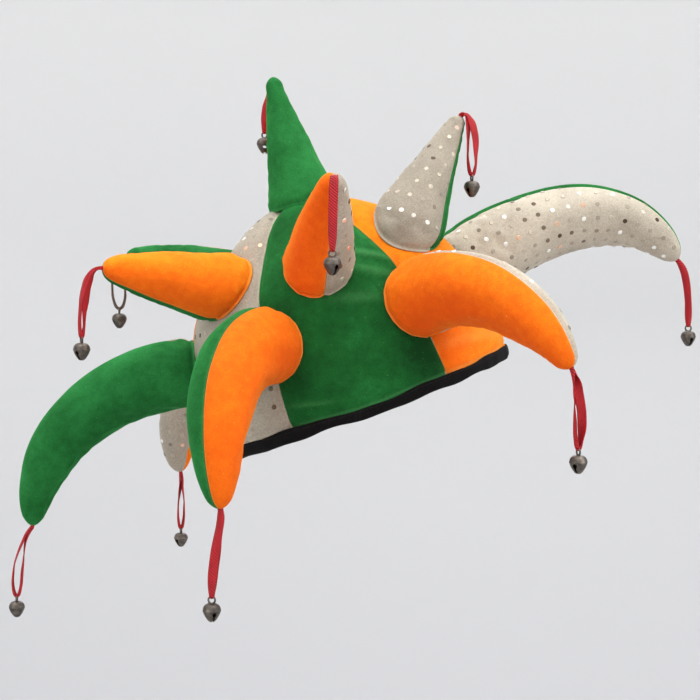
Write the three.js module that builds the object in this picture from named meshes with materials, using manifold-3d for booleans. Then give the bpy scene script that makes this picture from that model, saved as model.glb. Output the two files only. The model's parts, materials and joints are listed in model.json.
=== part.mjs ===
// Clown hat: a padded crown of six cloth panels with a bound rim, and eleven stuffed horns.
// Each horn is sewn from two halves and carries a ribbon loop with a jingle bell at its tip.
// Millimetres. +Z is up, +X is the wearer's front and +Y is the wearer's left.
// The origin is the centre of the head opening, in the plane of the rim.
import * as THREE from 'three';
import { mergeVertices } from 'three/addons/utils/BufferGeometryUtils.js';
import Module from 'manifold-3d';

const wasm = await Module();
wasm.setup();

// Clearance between neighbouring pieces
const GAP = 0.3;

// Crown: an oval dome, taller than a cap, tipped so that its rim rises towards the front
const RIM_TILT = THREE.MathUtils.degToRad(20);
const CROWN_WIDTH_OVER_LENGTH = 0.83;
const CROWN_WALL = 3;
const PANEL_PUFF = 2.5;
const PANEL_COLUMNS = 6;
const PANEL_ROWS = 8;
const PANEL_TOP_SHARE = 0.97;
const PROFILE_HALVINGS = 40;
const NORMAL_STEP = 0.001;
const CROWN_PROFILE = [
  { height: 0, halfLength: 100 },
  { height: 15, halfLength: 101 },
  { height: 48, halfLength: 97 },
  { height: 84, halfLength: 88 },
  { height: 111, halfLength: 66 },
  { height: 132, halfLength: 38 },
  { height: 141, halfLength: 17 },
  { height: 144, halfLength: 0 },
];

// Panels in order round the crown, with the azimuth of the seams at their two edges, in degrees
// from the front towards the wearer's left
const PANELS = [
  { place: 'front_left', cloth: 'silver', from: 0, to: 60 },
  { place: 'left', cloth: 'green', from: 60, to: 118 },
  { place: 'rear_left', cloth: 'orange', from: 118, to: 188 },
  { place: 'rear_right', cloth: 'silver', from: 188, to: 243 },
  { place: 'right', cloth: 'green', from: 243, to: 304 },
  { place: 'front_right', cloth: 'orange', from: 304, to: 360 },
];

// Rim binding: a folded band whose section is given from the crown's outer face and the rim plane
const BAND_HEIGHT = 9;
const BAND_SECTION = [
  { lift: -1.5, height: BAND_HEIGHT },
  { lift: 0.5, height: BAND_HEIGHT - 1 },
  { lift: 0.5, height: 1 },
  { lift: -1.5, height: 0 },
  { lift: -3.5, height: 1 },
  { lift: -3.5, height: BAND_HEIGHT - 1 },
];

// Horns: root place on the crown, girth at the root, the pull of the spine at each end, the tip,
// the side that the first cloth faces, and the ribbon's lead, its drop to the bell and its turn.
const HORN_SIDES = 8;
const HORN_DEPTH_OVER_WIDTH = 0.95;
const ROOT_SINK = 26;
const TAPERS = {
  cone: [
    { along: 0, girth: 1 },
    { along: 0.25, girth: 0.79 },
    { along: 0.5, girth: 0.585 },
    { along: 0.7, girth: 0.42 },
    { along: 0.86, girth: 0.285 },
    { along: 0.955, girth: 0.215 },
    { along: 1, girth: 0.07 },
  ],
  thumb: [
    { along: 0, girth: 1 },
    { along: 0.25, girth: 0.87 },
    { along: 0.5, girth: 0.71 },
    { along: 0.75, girth: 0.52 },
    { along: 0.9, girth: 0.38 },
    { along: 0.97, girth: 0.25 },
    { along: 1, girth: 0.08 },
  ],
  curl: [
    { along: 0, girth: 1 },
    { along: 0.16, girth: 0.99 },
    { along: 0.32, girth: 0.95 },
    { along: 0.48, girth: 0.88 },
    { along: 0.63, girth: 0.78 },
    { along: 0.77, girth: 0.64 },
    { along: 0.88, girth: 0.48 },
    { along: 0.965, girth: 0.3 },
    { along: 1, girth: 0.09 },
  ],
  bulb: [
    { along: 0, girth: 1 },
    { along: 0.16, girth: 0.93 },
    { along: 0.32, girth: 0.87 },
    { along: 0.48, girth: 0.79 },
    { along: 0.63, girth: 0.69 },
    { along: 0.77, girth: 0.56 },
    { along: 0.88, girth: 0.43 },
    { along: 0.965, girth: 0.28 },
    { along: 1, girth: 0.085 },
  ],
};
const HORNS = [
  {
    place: 'top', azimuth: 0, height: 143, girth: 46, taper: 'cone',
    rootPull: [-6, 1, 28], tip: [-61, 4, 218], tipPull: [6, -1, -30],
    faces: [0, -1, 0], cloths: ['green', 'orange'],
    lead: [-1, 9, 1], drop: [-6, 14, -36], turn: 90,
  },
  {
    place: 'upper_front', azimuth: -29, height: 102, girth: 50, taper: 'cone',
    rootPull: [10, 3, 23], tip: [62, -8, 191], tipPull: [-11, -2, -23],
    faces: [-0.55, -0.84, 0], cloths: ['silver', 'green'],
    lead: [8, -2, 5], drop: [7, -8, -40], turn: 15,
  },
  {
    place: 'upper_right', azimuth: -87, height: 96, girth: 48, taper: 'thumb',
    rootPull: [3, -24, 13], tip: [-19, -128, 142], tipPull: [-3, 20, -11],
    faces: [-1, -0.1, -0.12], cloths: ['orange', 'silver'],
    lead: [0, -9, 5], drop: [-1, -8, -43], turn: 90,
  },
  {
    place: 'upper_left', azimuth: 87, height: 96, girth: 48, taper: 'thumb',
    rootPull: [3, 24, 13], tip: [-19, 128, 142], tipPull: [-3, -20, -11],
    faces: [1, -0.1, 0.12], cloths: ['orange', 'silver'],
    lead: [0, 9, 5], drop: [-1, 8, -43], turn: 90,
  },
  {
    place: 'upper_rear_right', azimuth: -140, height: 103, girth: 47, taper: 'thumb',
    rootPull: [-24, -12, 4], tip: [-161, -78, 91], tipPull: [22, 10, -2],
    faces: [0.4, -0.86, 0.3], cloths: ['orange', 'green'],
    lead: [-9, -4, 1], drop: [-12, -5, -43], turn: 25,
  },
  {
    place: 'upper_rear_left', azimuth: 137, height: 105, girth: 47, taper: 'thumb',
    rootPull: [-25, 12, 9], tip: [-168, 78, 101], tipPull: [26, -10, -3],
    faces: [-0.4, -0.91, 0], cloths: ['green', 'silver'],
    lead: [-9, 4, 2], drop: [-6, 5, -37], turn: 0,
  },
  {
    place: 'lower_front_right', azimuth: -55, height: 56, girth: 51, taper: 'bulb',
    rootPull: [28, -36, 17], tip: [116, -146, 33], tipPull: [-20, 8, 37],
    faces: [-0.67, -0.72, -0.17], cloths: ['orange', 'silver'],
    lead: [3, -1, -8], drop: [4, -1, -47], turn: 20,
  },
  {
    place: 'lower_front_left', azimuth: 32, height: 60, girth: 54, taper: 'curl',
    rootPull: [50, 15, 38], tip: [218, 60, 99], tipPull: [-43, 2, 56],
    faces: [-0.1, -0.92, -0.3], cloths: ['silver', 'green'],
    lead: [7, 0, -8], drop: [8, 0, -47], turn: 75,
  },
  {
    place: 'lower_rear_right', azimuth: -115, height: 60, girth: 48, taper: 'curl',
    rootPull: [-26, -48, 5], tip: [-83, -155, -46], tipPull: [-5, 0, 44],
    faces: [0.88, -0.47, 0.1], cloths: ['orange', 'green'],
    lead: [1, 0, -8], drop: [-5, -1, -51], turn: 80,
  },
  {
    place: 'lower_rear_left', azimuth: 115, height: 58, girth: 52, taper: 'curl',
    rootPull: [-49, 46, 2], tip: [-138, 150, -59], tipPull: [-10, 0, 51],
    faces: [-0.68, -0.72, -0.14], cloths: ['silver', 'orange'],
    lead: [1, 0, -8], drop: [0, 1, -44], turn: 20,
  },
  {
    place: 'lower_rear', azimuth: 180, height: 60, girth: 46, taper: 'curl',
    rootPull: [-48, 0, -3], tip: [-220, 0, -78], tipPull: [4, 0, 67],
    faces: [0, -1, 0], cloths: ['green', 'silver'],
    lead: [-7, 0, -6], drop: [-11, 0, -48], turn: 0,
  },
];

// Ribbon loops: a strip that leaves the tip, passes through the bell's shank and comes back
const RIBBON_THICKNESS = 0.6;
const RIBBON_START_GAP = 0.9;
const RIBBON_HANG = 22;
const RIBBON_STATIONS = [
  { down: 0, apart: 0.4, width: 2 },
  { down: 0.14, apart: 0.8, width: 4.2 },
  { down: 0.36, apart: 1.6, width: 5.4 },
  { down: 0.62, apart: 3.4, width: 5.4 },
  { down: 0.85, apart: 3.6, width: 3.8 },
  { down: 0.965, apart: 2.1, width: 2 },
  { down: 1, apart: 0.8, width: 1.6 },
];

// Jingle bells: a thin hollow shell with a slot that ends in round holes, and a wire shank on top
const BELL_SIDES = 10;
const BELL_HOLE_SIDES = 6;
const BELL_HOLLOW_SIDES = 6;
const BELL_PROFILE = [
  { radius: 0, height: -6 },
  { radius: 2.2, height: -5 },
  { radius: 4.4, height: -1.6 },
  { radius: 5.1, height: 1.2 },
  { radius: 4, height: 3.8 },
  { radius: 0, height: 4.9 },
];
const BELL_HOLLOW = [
  { radius: 0, height: -5 },
  { radius: 4.1, height: -0.6 },
  { radius: 3.6, height: 3 },
  { radius: 0, height: 4 },
];
const BELL_CUT_LENGTH = 20;
const BELL_SLOT_WIDTH = 1.3;
const BELL_SLOT_TOP = -1.2;
const BELL_HOLE_RADIUS = 1.3;
const BELL_SLOT_TURN = THREE.MathUtils.degToRad(35);
const SHANK_WIRE_RADIUS = 0.6;
const SHANK_WIRE_SIDES = 5;
const SHANK_HOLE_RADIUS = 1.4;
const SHANK_CLEARANCE = 0.5;
const SHANK_SUNK_IN_BELL = 0.8;

// Finishes
const FINISHES = {
  orange: { color: 0xfa7c19, roughness: 0.9, metalness: 0 },
  green: { color: 0x237336, roughness: 0.9, metalness: 0 },
  silver: { color: 0xc9bba6, roughness: 0.8, metalness: 0 },
  black: { color: 0x211d1c, roughness: 0.85, metalness: 0 },
  red: { color: 0xc82e27, roughness: 0.5, metalness: 0 },
  bronze: { color: 0x524a47, roughness: 0.45, metalness: 0.8 },
};

const UP = new THREE.Vector3(0, 0, 1);

function vector(xyz) {
  return new THREE.Vector3(...xyz);
}

function geometryOf(points, triangles) {
  const geometry = new THREE.BufferGeometry().setFromPoints(points);
  geometry.setIndex(triangles);
  return geometry;
}

function pushQuad(triangles, a, b, c, d) {
  triangles.push(a, b, c, a, c, d);
}

// A body between two like grids of points: an outer face, an inner face and the four edges
function shellBody(outerPoint, innerPoint, columns, rows) {
  const points = [];
  for (const pointAt of [outerPoint, innerPoint]) {
    for (let row = 0; row <= rows; row++) {
      for (let column = 0; column <= columns; column++) {
        points.push(pointAt(column, row));
      }
    }
  }
  const outer = (column, row) => row * (columns + 1) + column;
  const inner = (column, row) => (rows + 1) * (columns + 1) + outer(column, row);
  const triangles = [];
  for (let row = 0; row < rows; row++) {
    for (let column = 0; column < columns; column++) {
      const right = column + 1;
      const above = row + 1;
      pushQuad(triangles, outer(column, row), outer(right, row), outer(right, above), outer(column, above));
      pushQuad(triangles, inner(right, row), inner(column, row), inner(column, above), inner(right, above));
    }
  }
  for (let column = 0; column < columns; column++) {
    const right = column + 1;
    pushQuad(triangles, outer(right, 0), outer(column, 0), inner(column, 0), inner(right, 0));
    pushQuad(triangles, outer(column, rows), outer(right, rows), inner(right, rows), inner(column, rows));
  }
  for (let row = 0; row < rows; row++) {
    const above = row + 1;
    pushQuad(triangles, outer(0, row), outer(0, above), inner(0, above), inner(0, row));
    const end = columns;
    pushQuad(triangles, outer(end, above), outer(end, row), inner(end, row), inner(end, above));
  }
  return geometryOf(points, triangles);
}

// A body through a row of like rings, either closed on itself or capped at both ends.
// Each ring runs anticlockwise about the way that the row goes. A mirrored body has its quads
// cut along the other diagonal, so that it fits face to face with its twin.
function loftBody(rings, { closed = false, mirrored = false } = {}) {
  const sides = rings[0].length;
  const points = rings.flat();
  const triangles = [];
  const joins = closed ? rings.length : rings.length - 1;
  for (let ring = 0; ring < joins; ring++) {
    const here = ring * sides;
    const next = ((ring + 1) % rings.length) * sides;
    for (let side = 0; side < sides; side++) {
      const after = (side + 1) % sides;
      if (mirrored) pushQuad(triangles, here + after, next + after, next + side, here + side);
      else pushQuad(triangles, here + side, here + after, next + after, next + side);
    }
  }
  if (!closed) {
    const last = (rings.length - 1) * sides;
    for (let side = 1; side < sides - 1; side++) {
      triangles.push(0, side + 1, side);
      triangles.push(last, last + side, last + side + 1);
    }
  }
  return geometryOf(points, triangles);
}

// A solid for joining and cutting, from a closed geometry
function solidOf(geometry) {
  const bare = geometry.clone();
  bare.deleteAttribute('normal');
  bare.deleteAttribute('uv');
  const merged = mergeVertices(bare);
  const index = merged.index.array;
  const kept = [];
  for (let i = 0; i < index.length; i += 3) {
    const [a, b, c] = index.subarray(i, i + 3);
    if (a !== b && b !== c && c !== a) kept.push(a, b, c);
  }
  return new wasm.Manifold(new wasm.Mesh({
    numProp: 3,
    vertProperties: Float32Array.from(merged.attributes.position.array),
    triVerts: Uint32Array.from(kept),
  }));
}

function geometryOfSolid(solid) {
  const mesh = solid.getMesh();
  const geometry = new THREE.BufferGeometry();
  geometry.setAttribute('position', new THREE.BufferAttribute(mesh.vertProperties, mesh.numProp));
  geometry.setIndex(Array.from(mesh.triVerts));
  return geometry;
}

function addPiece(parent, name, geometry, finish) {
  geometry.computeVertexNormals();
  const mesh = new THREE.Mesh(geometry, new THREE.MeshStandardMaterial(FINISHES[finish]));
  mesh.name = name;
  parent.add(mesh);
  return mesh;
}

const hat = new THREE.Group();
const crown = new THREE.Group();
crown.rotation.y = -RIM_TILT;
hat.add(crown);

// The crown's outer face, in the frame of the rim: a share of the way up the profile, from 0 at
// the rim to 1 at the top, and an azimuth from the front towards the wearer's left.
const profile = new THREE.SplineCurve(
  CROWN_PROFILE.map((row) => new THREE.Vector2(row.halfLength, row.height)),
);

function shareAtHeight(height) {
  let low = 0;
  let high = 1;
  for (let halving = 0; halving < PROFILE_HALVINGS; halving++) {
    const middle = (low + high) / 2;
    if (profile.getPoint(middle).y < height) low = middle;
    else high = middle;
  }
  return (low + high) / 2;
}

function smoothCrownPoint(azimuth, share) {
  const { x: halfLength, y: height } = profile.getPoint(share);
  const halfWidth = halfLength * CROWN_WIDTH_OVER_LENGTH;
  return new THREE.Vector3(halfLength * Math.cos(azimuth), halfWidth * Math.sin(azimuth), height);
}

function crownNormal(azimuth, share) {
  const here = smoothCrownPoint(azimuth, share);
  const lower = Math.min(share, 1 - NORMAL_STEP);
  const around = smoothCrownPoint(azimuth + NORMAL_STEP, share).sub(here);
  const upward = smoothCrownPoint(azimuth, lower + NORMAL_STEP).sub(smoothCrownPoint(azimuth, lower));
  return around.cross(upward).normalize();
}

// Each panel puffs out between its seams, and between the rim and the top
function crownPoint(azimuth, share, lift) {
  const degrees = THREE.MathUtils.euclideanModulo(THREE.MathUtils.radToDeg(azimuth), 360);
  const { from, to } = PANELS.find((panel) => degrees <= panel.to);
  const across = (degrees - from) / (to - from);
  const puff = PANEL_PUFF * Math.sin(Math.PI * across) * Math.sin(Math.PI * share);
  return smoothCrownPoint(azimuth, share).addScaledVector(crownNormal(azimuth, share), lift + puff);
}

// Panels, each from the binding to just short of the top, with a gap at its seams
const panelFoot = shareAtHeight(BAND_HEIGHT + GAP);

function panelShare(row) {
  return THREE.MathUtils.lerp(panelFoot, PANEL_TOP_SHARE, row / PANEL_ROWS);
}

function panelAzimuth({ from, to }, column, inset) {
  const start = THREE.MathUtils.degToRad(from) + inset;
  const end = THREE.MathUtils.degToRad(to) - inset;
  return THREE.MathUtils.lerp(start, end, column / PANEL_COLUMNS);
}

for (const panel of PANELS) {
  const pointAt = (lift) => (column, row) => {
    const share = panelShare(row);
    const seamInset = GAP / 2 / (profile.getPoint(share).x * CROWN_WIDTH_OVER_LENGTH);
    return crownPoint(panelAzimuth(panel, column, seamInset), share, lift);
  };
  const body = shellBody(pointAt(0), pointAt(-CROWN_WALL), PANEL_COLUMNS, PANEL_ROWS);
  addPiece(crown, `panel_${panel.place}`, body, panel.cloth);
}

// Columns of points round the whole crown, in step with those of the panels
const crownAzimuths = PANELS.flatMap((panel) => (
  Array.from({ length: PANEL_COLUMNS }, (_, column) => panelAzimuth(panel, column, 0))
));

// Rim band
const bandRings = crownAzimuths.map((azimuth) => (
  BAND_SECTION.map(({ lift, height }) => crownPoint(azimuth, shareAtHeight(height), lift))
));
addPiece(crown, 'rim_band', loftBody(bandRings, { closed: true }), 'black');

// The space that the crown fills, with the clearance round it, which the horns' roots are cut to
function crownSpace() {
  const shares = [0, ...Array.from({ length: PANEL_ROWS + 1 }, (_, row) => panelShare(row)), 1];
  const rings = shares.map((share) => (
    crownAzimuths.map((azimuth) => crownPoint(azimuth, share, GAP))
  ));
  const geometry = loftBody(rings);
  geometry.rotateY(-RIM_TILT);
  return solidOf(geometry);
}

// One half of a horn: half rounds along its spine, on one side of the seam plane
function hornHalf(horn, spine, side) {
  const halfGap = GAP / 2;
  const ringAt = (along, girthShare, sink) => {
    const tangent = spine.getTangentAt(along);
    const centre = spine.getPointAt(along).addScaledVector(tangent, -sink);
    const seamNormal = vector(horn.faces).projectOnPlane(tangent).normalize();
    const inSeam = seamNormal.clone().cross(tangent);
    const radius = (horn.girth / 2) * girthShare;
    return Array.from({ length: HORN_SIDES }, (_, corner) => {
      const angle = (corner / (HORN_SIDES - 1)) * Math.PI;
      const outOfSeam = halfGap + radius * HORN_DEPTH_OVER_WIDTH * Math.sin(angle);
      return centre.clone()
        .addScaledVector(inSeam, side * radius * Math.cos(angle))
        .addScaledVector(seamNormal, side * outOfSeam);
    });
  };
  const stations = TAPERS[horn.taper].map(({ along, girth }) => ringAt(along, girth, 0));
  return loftBody([ringAt(0, 1, ROOT_SINK), ...stations], { mirrored: side < 0 });
}

// A ribbon loop: down one leg, through the shank and up the other leg
function ribbonLoop(route, spread) {
  const across = spread.clone().cross(UP);
  const leg = (sign) => RIBBON_STATIONS.map(({ down, apart, width }) => ({
    centre: route.getPoint(down).addScaledVector(spread, sign * apart),
    width,
  }));
  const line = [...leg(1), ...leg(-1).reverse()];
  const rings = line.map(({ centre, width }, index) => {
    const before = line[Math.max(index - 1, 0)].centre;
    const after = line[Math.min(index + 1, line.length - 1)].centre;
    const tangent = after.clone().sub(before).normalize();
    const faceNormal = tangent.clone().cross(across).normalize();
    const corner = (wide, thick) => centre.clone()
      .addScaledVector(across, (wide * width) / 2)
      .addScaledVector(faceNormal, (thick * RIBBON_THICKNESS) / 2);
    return [corner(1, 1), corner(-1, 1), corner(-1, -1), corner(1, -1)];
  });
  return loftBody(rings);
}

// A jingle bell about its own axis, with the centre of its shank's hole at the origin
function bellGeometry() {
  const lathe = (rows, sides) => {
    const points = rows.map(({ radius, height }) => new THREE.Vector2(radius, height));
    return new THREE.LatheGeometry(points, sides).rotateX(Math.PI / 2);
  };
  const slot = new THREE.BoxGeometry(BELL_CUT_LENGTH, BELL_SLOT_WIDTH, BELL_CUT_LENGTH)
    .translate(0, 0, BELL_SLOT_TOP - BELL_CUT_LENGTH / 2)
    .rotateZ(BELL_SLOT_TURN);
  const holeSize = [BELL_HOLE_RADIUS, BELL_HOLE_RADIUS, BELL_CUT_LENGTH, BELL_HOLE_SIDES];
  const endHoles = new THREE.CylinderGeometry(...holeSize)
    .rotateZ(Math.PI / 2)
    .translate(0, 0, BELL_SLOT_TOP)
    .rotateZ(BELL_SLOT_TURN);
  const shankRadius = SHANK_HOLE_RADIUS + SHANK_WIRE_RADIUS;
  const bellTop = BELL_PROFILE[BELL_PROFILE.length - 1].height;
  const shankHeight = bellTop + shankRadius + SHANK_WIRE_RADIUS - SHANK_SUNK_IN_BELL;
  const shank = new THREE.TorusGeometry(shankRadius, SHANK_WIRE_RADIUS, SHANK_WIRE_SIDES, BELL_SIDES)
    .rotateY(Math.PI / 2)
    .translate(0, 0, shankHeight);
  const shell = solidOf(lathe(BELL_PROFILE, BELL_SIDES))
    .add(solidOf(shank))
    .subtract(solidOf(lathe(BELL_HOLLOW, BELL_HOLLOW_SIDES)))
    .subtract(solidOf(slot))
    .subtract(solidOf(endHoles));
  return geometryOfSolid(shell).translate(0, 0, -shankHeight);
}

// Horns with their ribbons and bells
const crownCut = crownSpace();
const bell = bellGeometry();
const shankBelowRibbon = SHANK_HOLE_RADIUS - RIBBON_THICKNESS / 2 - SHANK_CLEARANCE;

for (const horn of HORNS) {
  const azimuth = THREE.MathUtils.degToRad(horn.azimuth);
  const root = crownPoint(azimuth, shareAtHeight(horn.height), 0).applyEuler(crown.rotation);
  const tip = vector(horn.tip);
  const spine = new THREE.CubicBezierCurve3(
    root,
    root.clone().add(vector(horn.rootPull)),
    tip.clone().add(vector(horn.tipPull)),
    tip,
  );
  horn.cloths.forEach((cloth, index) => {
    const half = solidOf(hornHalf(horn, spine, index === 0 ? 1 : -1)).subtract(crownCut);
    addPiece(hat, `horn_${horn.place}_${cloth}`, geometryOfSolid(half), cloth);
  });

  const ribbonStart = tip.clone().addScaledVector(spine.getTangentAt(1), RIBBON_START_GAP);
  const ribbonEnd = tip.clone().add(vector(horn.drop));
  const route = new THREE.CubicBezierCurve3(
    ribbonStart,
    ribbonStart.clone().add(vector(horn.lead)),
    ribbonEnd.clone().addScaledVector(UP, RIBBON_HANG),
    ribbonEnd,
  );
  const turn = THREE.MathUtils.degToRad(horn.turn);
  const spread = new THREE.Vector3(Math.cos(turn), Math.sin(turn), 0);
  addPiece(hat, `ribbon_${horn.place}`, ribbonLoop(route, spread), 'red');

  const bellMesh = addPiece(hat, `bell_${horn.place}`, bell.clone(), 'bronze');
  bellMesh.position.copy(ribbonEnd).addScaledVector(UP, -shankBelowRibbon);
  bellMesh.rotation.z = turn;
}

export default hat;
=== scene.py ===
import json
import math

import bpy
import numpy as np
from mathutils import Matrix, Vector
from mathutils.bvhtree import BVHTree

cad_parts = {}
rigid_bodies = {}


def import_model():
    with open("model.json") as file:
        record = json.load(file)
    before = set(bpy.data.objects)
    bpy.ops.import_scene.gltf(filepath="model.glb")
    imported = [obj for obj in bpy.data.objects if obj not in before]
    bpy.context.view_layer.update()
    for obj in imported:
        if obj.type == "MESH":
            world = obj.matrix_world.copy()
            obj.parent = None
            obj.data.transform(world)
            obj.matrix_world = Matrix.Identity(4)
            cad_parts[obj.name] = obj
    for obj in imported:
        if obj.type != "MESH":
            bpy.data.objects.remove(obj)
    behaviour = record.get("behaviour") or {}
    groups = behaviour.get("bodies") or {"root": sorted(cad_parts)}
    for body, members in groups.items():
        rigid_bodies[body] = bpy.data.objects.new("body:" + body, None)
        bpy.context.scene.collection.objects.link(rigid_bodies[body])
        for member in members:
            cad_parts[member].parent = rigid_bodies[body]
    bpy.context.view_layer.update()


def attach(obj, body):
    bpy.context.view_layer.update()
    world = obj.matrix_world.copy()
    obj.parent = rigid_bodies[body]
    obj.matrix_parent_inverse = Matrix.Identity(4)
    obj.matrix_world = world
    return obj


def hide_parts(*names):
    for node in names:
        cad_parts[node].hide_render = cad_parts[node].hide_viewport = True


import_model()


# Crown panels
# The crown is six padded cloth panels, velvet or sequin cloth over wadding and a thin lining.
# They are sewn edge to edge from the rim to the top, so each one puffs out between its seams.
MM = 0.001
RIM_TILT = math.radians(20)
CROWN_WIDTH_OVER_LENGTH = 0.83
CROWN_PROFILE = np.array([  # height, half length
    (0, 100), (15, 101), (48, 97), (84, 88), (111, 66), (132, 38), (141, 17), (144, 0),
], float)
MEAN_RADIUS, GIRTH_SHARE, PANEL_LENGTH = 88, 0.9, 190
PANELS = (  # place, cloth, and the azimuths of its two seams in degrees from the front to the left
    ("front_left", "silver", 0, 60),
    ("left", "green", 60, 118),
    ("rear_left", "orange", 118, 188),
    ("rear_right", "silver", 188, 243),
    ("right", "green", 243, 304),
    ("front_right", "orange", 304, 360),
)
SLOTS = {"orange": "orange_velvet", "green": "green_velvet", "silver": "sequin_cloth"}
# Painted light and shade: some panels are painted lighter or darker, as the light falls on them
PANEL_PAINTED_LIGHT = {"right": -0.02, "left": -0.05, "front_right": 0.06}
TOP_LIGHT_RISES = {"orange": 0.15, "green": 0.04, "silver": 0.0}  # painted light: lighter where the pile faces up, as if lit from above
PAINTED_SHADOWS = (  # painted shadows, darker where the horns shade the panels: azimuth, height, reach both ways, amount
    (-58, 32, 16, 26, -0.24), (62, 40, 18, 26, -0.2), (160, 30, 22, 22, -0.15))
HEM_DIPS = (  # where the binding runs lower: azimuth, half width in degrees, share of its height
    (-86, 17, 0.3), (-48, 20, 0.16), (84, 19, 0.22), (150, 24, 0.1))
PANEL_COLUMNS, PANEL_ROWS, COLUMN_CROWDING, ROW_CROWDING = 64, 110, 0.6, 1.1
PANEL_FOOT, HEM_LINE, HEM_FULL, PANEL_TOP_SHARE = 7.3, 9.3, 0.94, 0.97
PANEL_PUFF, PANEL_WALL, PANEL_FILL = 2.6, 3.0, 0.5
SEAM_GAP, SEAM_DEPTH, SEAM_ROLL = 0.3, 1.9, 3.2
HEM_DEPTH, HEM_ROLL = 1.0, 2.4
LUMP_SIZE, LUMP_HEIGHT, LUMP_SEED = 46.0, 0.7, 3
SMOOTH_OVER_HEM, SMOOTH_FROM, SMOOTH_FADE = 14, 132, 10  # heights without lumps and folds
# Paler pile where it parts over the hem and along seams; along each pulled fold's ridge the pale line is
# painted highlight
PARTED_HEM, PARTED_HEM_PLACE, PARTED_HEM_WIDTH, FOLD_HIGHLIGHT = 0.5, 0.4, 1.2, 0.45
PARTED_SEAMS, PARTED_SEAM_WIDTH = {"orange": 0.3, "green": 0.3, "silver": 0.7}, 0.8
PULLS = (  # pulled folds in the cloth: azimuth and height of both ends, rise and half width
    (-74, 100, -55, 86, 1.1, 2.6),
    (-78, 92, -58, 74, 0.8, 3.2),
    (-90, 76, -66, 64, 0.6, 4.0),
    (-118, 23, -97, 15, 0.7, 1.6),
    (-58, 26, -12, 17, 0.5, 4.5),
    (70, 96, 54, 84, 1.0, 2.8),
    (96, 70, 112, 62, 0.8, 3.4),
    (150, 84, 170, 70, 0.8, 3.2),
    (204, 80, 224, 66, 0.7, 3.0),
    (30, 96, 12, 84, 0.9, 3.0),
)
PULL_DIP, PULL_DIP_PLACE, PULL_FULLNESS = 0.6, 1.6, 0.7


class Wire:
    """One value in a node tree. Sums and products of such values add Math nodes."""

    def __init__(self, socket):
        self.socket = socket

    @staticmethod
    def make(tree, kind, sockets=None, output=0, **settings):
        """A node of any kind: its settings are set first, then its sockets get values or links."""
        made = tree.nodes.new(kind)
        stops = settings.pop("stops", ())
        for name, value in settings.items():
            setattr(made, name, value)
        if stops:
            elements = made.color_ramp.elements
            while len(elements) < len(stops):
                elements.new(1)
            for element, (place, colour) in zip(elements, stops):
                element.position = place
                element.color = (*colour, 1)
        for name, value in (sockets or {}).items():
            if isinstance(value, Wire):
                tree.links.new(value.socket, made.inputs[name])
            else:
                made.inputs[name].default_value = value
        return Wire(made.outputs[output]) if made.outputs else made

    def node(self, kind, sockets=None, output=0, **settings):
        return Wire.make(self.socket.id_data, kind, sockets, output, **settings)

    def math(self, operation, first, second):
        return self.node("ShaderNodeMath", {0: first, 1: second}, operation=operation)

    def __add__(self, other):
        return self.math("ADD", self, other)

    def __sub__(self, other):
        return self.math("SUBTRACT", self, other)

    def __rsub__(self, other):
        return self.math("SUBTRACT", other, self)

    def __mul__(self, other):
        return self.math("MULTIPLY", self, other)

    __radd__ = __add__
    __rmul__ = __mul__


def new_finish(name):
    """An empty material, with its Object coordinates to start from."""
    finish = bpy.data.materials.new(name)
    finish.use_nodes = True
    finish.node_tree.nodes.clear()
    return finish, Wire.make(finish.node_tree, "ShaderNodeTexCoord", output="Object")


def put_surface(finish, place, sockets):
    surface = place.node("ShaderNodeBsdfPrincipled", sockets)
    place.node("ShaderNodeOutputMaterial", {"Surface": surface})
    return finish


def noise(place, scale, detail=2.0):
    return place.node("ShaderNodeTexNoise", {"Vector": place, "Scale": scale, "Detail": detail}, "Fac")


def mark(place, name):
    """A value that the mesh carries at its points."""
    return place.node("ShaderNodeAttribute", output="Fac", attribute_name=name)


def ramp(tone, places, colours):
    """A colour read off a scale that has one colour at each place."""
    return tone.node("ShaderNodeValToRGB", {"Fac": tone}, stops=list(zip(places, colours)))


def mix(amount, first, second):
    return amount.node("ShaderNodeMix", {0: amount, 6: first, 7: second}, 2, data_type="RGBA")


def relief(height, strength, depth):
    """A bump of that depth for a surface's Normal."""
    sockets = {"Height": height, "Strength": strength, "Distance": depth}
    return height.node("ShaderNodeBump", sockets, "Normal")


def linear(red, green, blue):
    """A colour given as display values from 0 to 255, as the shader wants it."""
    shares = [value / 255 for value in (red, green, blue)]
    return tuple(v / 12.92 if v <= 0.04045 else ((v + 0.055) / 1.055) ** 2.4 for v in shares)


def opaque(colour):
    return (*colour, 1.0)


TONE_PLACES = (0.25, 0.5, 0.8)
VELVET_PATCH, VELVET_STREAK, VELVET_PILE = 38.0, 210.0, 1500.0
VELVET_PILE_HEIGHT = 0.5 * MM
VELVET_SHEEN, VELVET_SHEEN_ROUGHNESS = 0.55, 0.38
LINT_SIZE, LINT_RARITY, LINT_CRISPNESS, LINT_SHARE = 800.0, 0.825, 18.0, 0.45


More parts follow.
